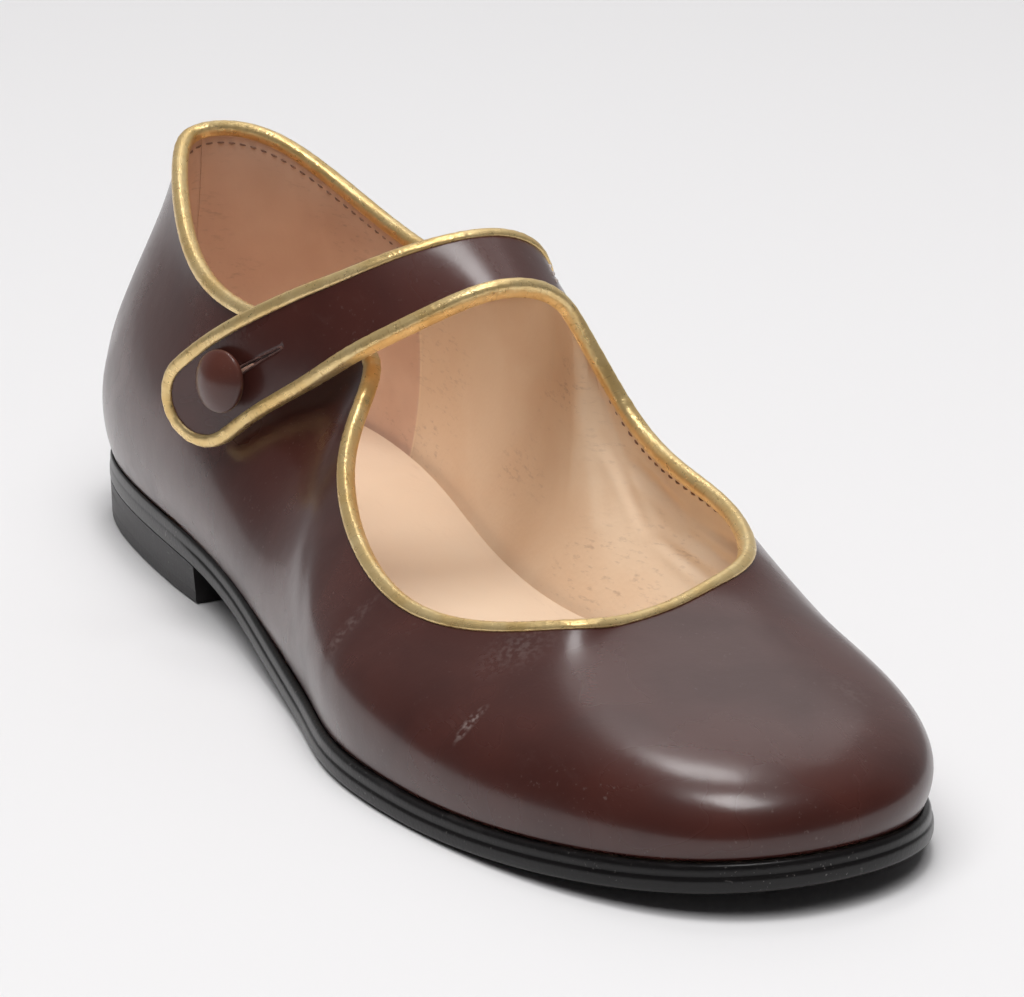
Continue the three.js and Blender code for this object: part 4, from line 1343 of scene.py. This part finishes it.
def wall_row_below(rows, drop, depth):
    """Path on a skin of the wall at a set distance below the top line."""
    fine = np.linspace(0.55, 1, 80)
    u, w = np.meshgrid(rows, fine, indexing="ij")
    column = wall(top_line, u, w)
    steps = np.linalg.norm(np.diff(column, axis=1), axis=-1)[:, ::-1].cumsum(1)[:, ::-1]
    below = np.concatenate([steps, np.zeros((len(rows), 1))], axis=1)
    heights = np.array([np.interp(-drop, -line, fine) for line in below])
    normal = wall_normal(top_line, rows, heights)
    return wall(top_line, rows, heights) - normal * depth, -normal


STITCHES_BELOW_RIM = 3.1
rim_rows = np.linspace(0.95, EAR_FRONT - 0.75, 1400)
inside_path, inside_out = wall_row_below(rim_rows, STITCHES_BELOW_RIM, LINING_DEPTH)
make_piece("binding_stitches", *stitch_row(inside_path, inside_out, 1.5, 0.7, 0.2, jitter=0.04),
           brown_thread, "lining")

BASE_ROW_LENGTH = 2.2
strap_base = np.linspace(-0.62, 0.62, 30) * STRAP_CORE
base_path = strap_point(np.full(30, BASE_ROW_LENGTH), strap_base, UPPER_WALL / 2 + 0.02)
base_out = np.repeat(strap_frame(BASE_ROW_LENGTH)[3][None], 30, 0)
make_piece("strap_base_stitches", *stitch_row(base_path, base_out, 1.75, 0.75, 0.26),
           pale_thread, "upper")

# %% [markdown]
# ## Floor and light
# The photo has a white floor without an edge and soft light from above. In polished leather
# the lamps show as highlights, so what lights the shoe and what it mirrors are set apart. Two
# small softboxes above make the bright spots on the toe and the strap, and a dim window
# behind makes the wide sheen on the vamp. The ceiling lamp gives most of the light but is
# hidden from gloss. The sky is dim, and brighter behind the shoe than in front of it.

# %% Floor
FLOOR_RADIUS = 20.0
FLOOR_GAP = 0.0002


def make_floor():
    """Wide disc just under the shoe."""
    mesh = bpy.data.meshes.new("floor")
    work = bmesh.new()
    bmesh.ops.create_circle(work, cap_ends=True, segments=96, radius=FLOOR_RADIUS)
    work.to_mesh(mesh)
    work.free()
    floor = bpy.data.objects.new("floor", mesh)
    floor.location.z = -FLOOR_GAP
    bpy.context.scene.collection.objects.link(floor)
    constants = {"Base_Color": (0.83, 0.82, 0.825, 1), "Roughness": 0.6, "Specular_IOR_Level": 0.2}
    mesh.materials.append(new_finish("studio_floor", **constants)[0])
    print("floor:", FLOOR_RADIUS, "m in radius")


make_floor()

# %% Sky and lamps
BEHIND_SHOE = (-0.83, 0.49)


def make_sky(strength):
    """Dim room that is brighter behind the shoe."""
    world = bpy.data.worlds.new("studio")
    world.use_nodes = True
    bpy.context.scene.world = world
    tree = world.node_tree
    way = add(tree, "TexCoord").outputs["Generated"]
    parts = add(tree, "SeparateXYZ", {0: way}).outputs
    x, y = (maths(tree, "MULTIPLY", part, weight) for part, weight in zip(parts, BEHIND_SHOE))
    share = span(tree, maths(tree, "ADD", x, y), 0.1, 1.0)
    colour = blend(tree, share, (0.13, 0.125, 0.13, 1), (1.0, 0.985, 0.99, 1))
    tree.links.new(colour, tree.nodes["Background"].inputs["Color"])
    tree.nodes["Background"].inputs["Strength"].default_value = strength


def lamp(name, place, target, size, power):
    """Area lamp that looks at a target."""
    data = bpy.data.lights.new(name, "AREA")
    data.shape = "RECTANGLE"
    data.size, data.size_y = size
    data.energy = power
    made = bpy.data.objects.new(name, data)
    bpy.context.scene.collection.objects.link(made)
    made.location = place
    made.rotation_mode = "QUATERNION"
    made.rotation_quaternion = (Vector(target) - Vector(place)).to_track_quat("-Z", "Y")
    return made


make_sky(0.42)
lamp("softbox_above", (0.1, 0.0, 1.3), (0.1, 0, 0), (0.42, 0.3), 3.8)
lamp("softbox_rear", (-0.55, 0.28, 1.3), (0, 0, 0), (0.24, 0.24), 1.5)
lamp("window_behind", (-1.2, 0.75, 1.3), (0, 0, 0), (0.9, 0.8), 1.3)
fill = lamp("ceiling_fill", (0.35, -0.35, 2.2), (0, 0, 0), (2.4, 2.4), 50)
fill.visible_glossy = False
bpy.context.scene.view_settings.view_transform = "Standard"
print("light is up")
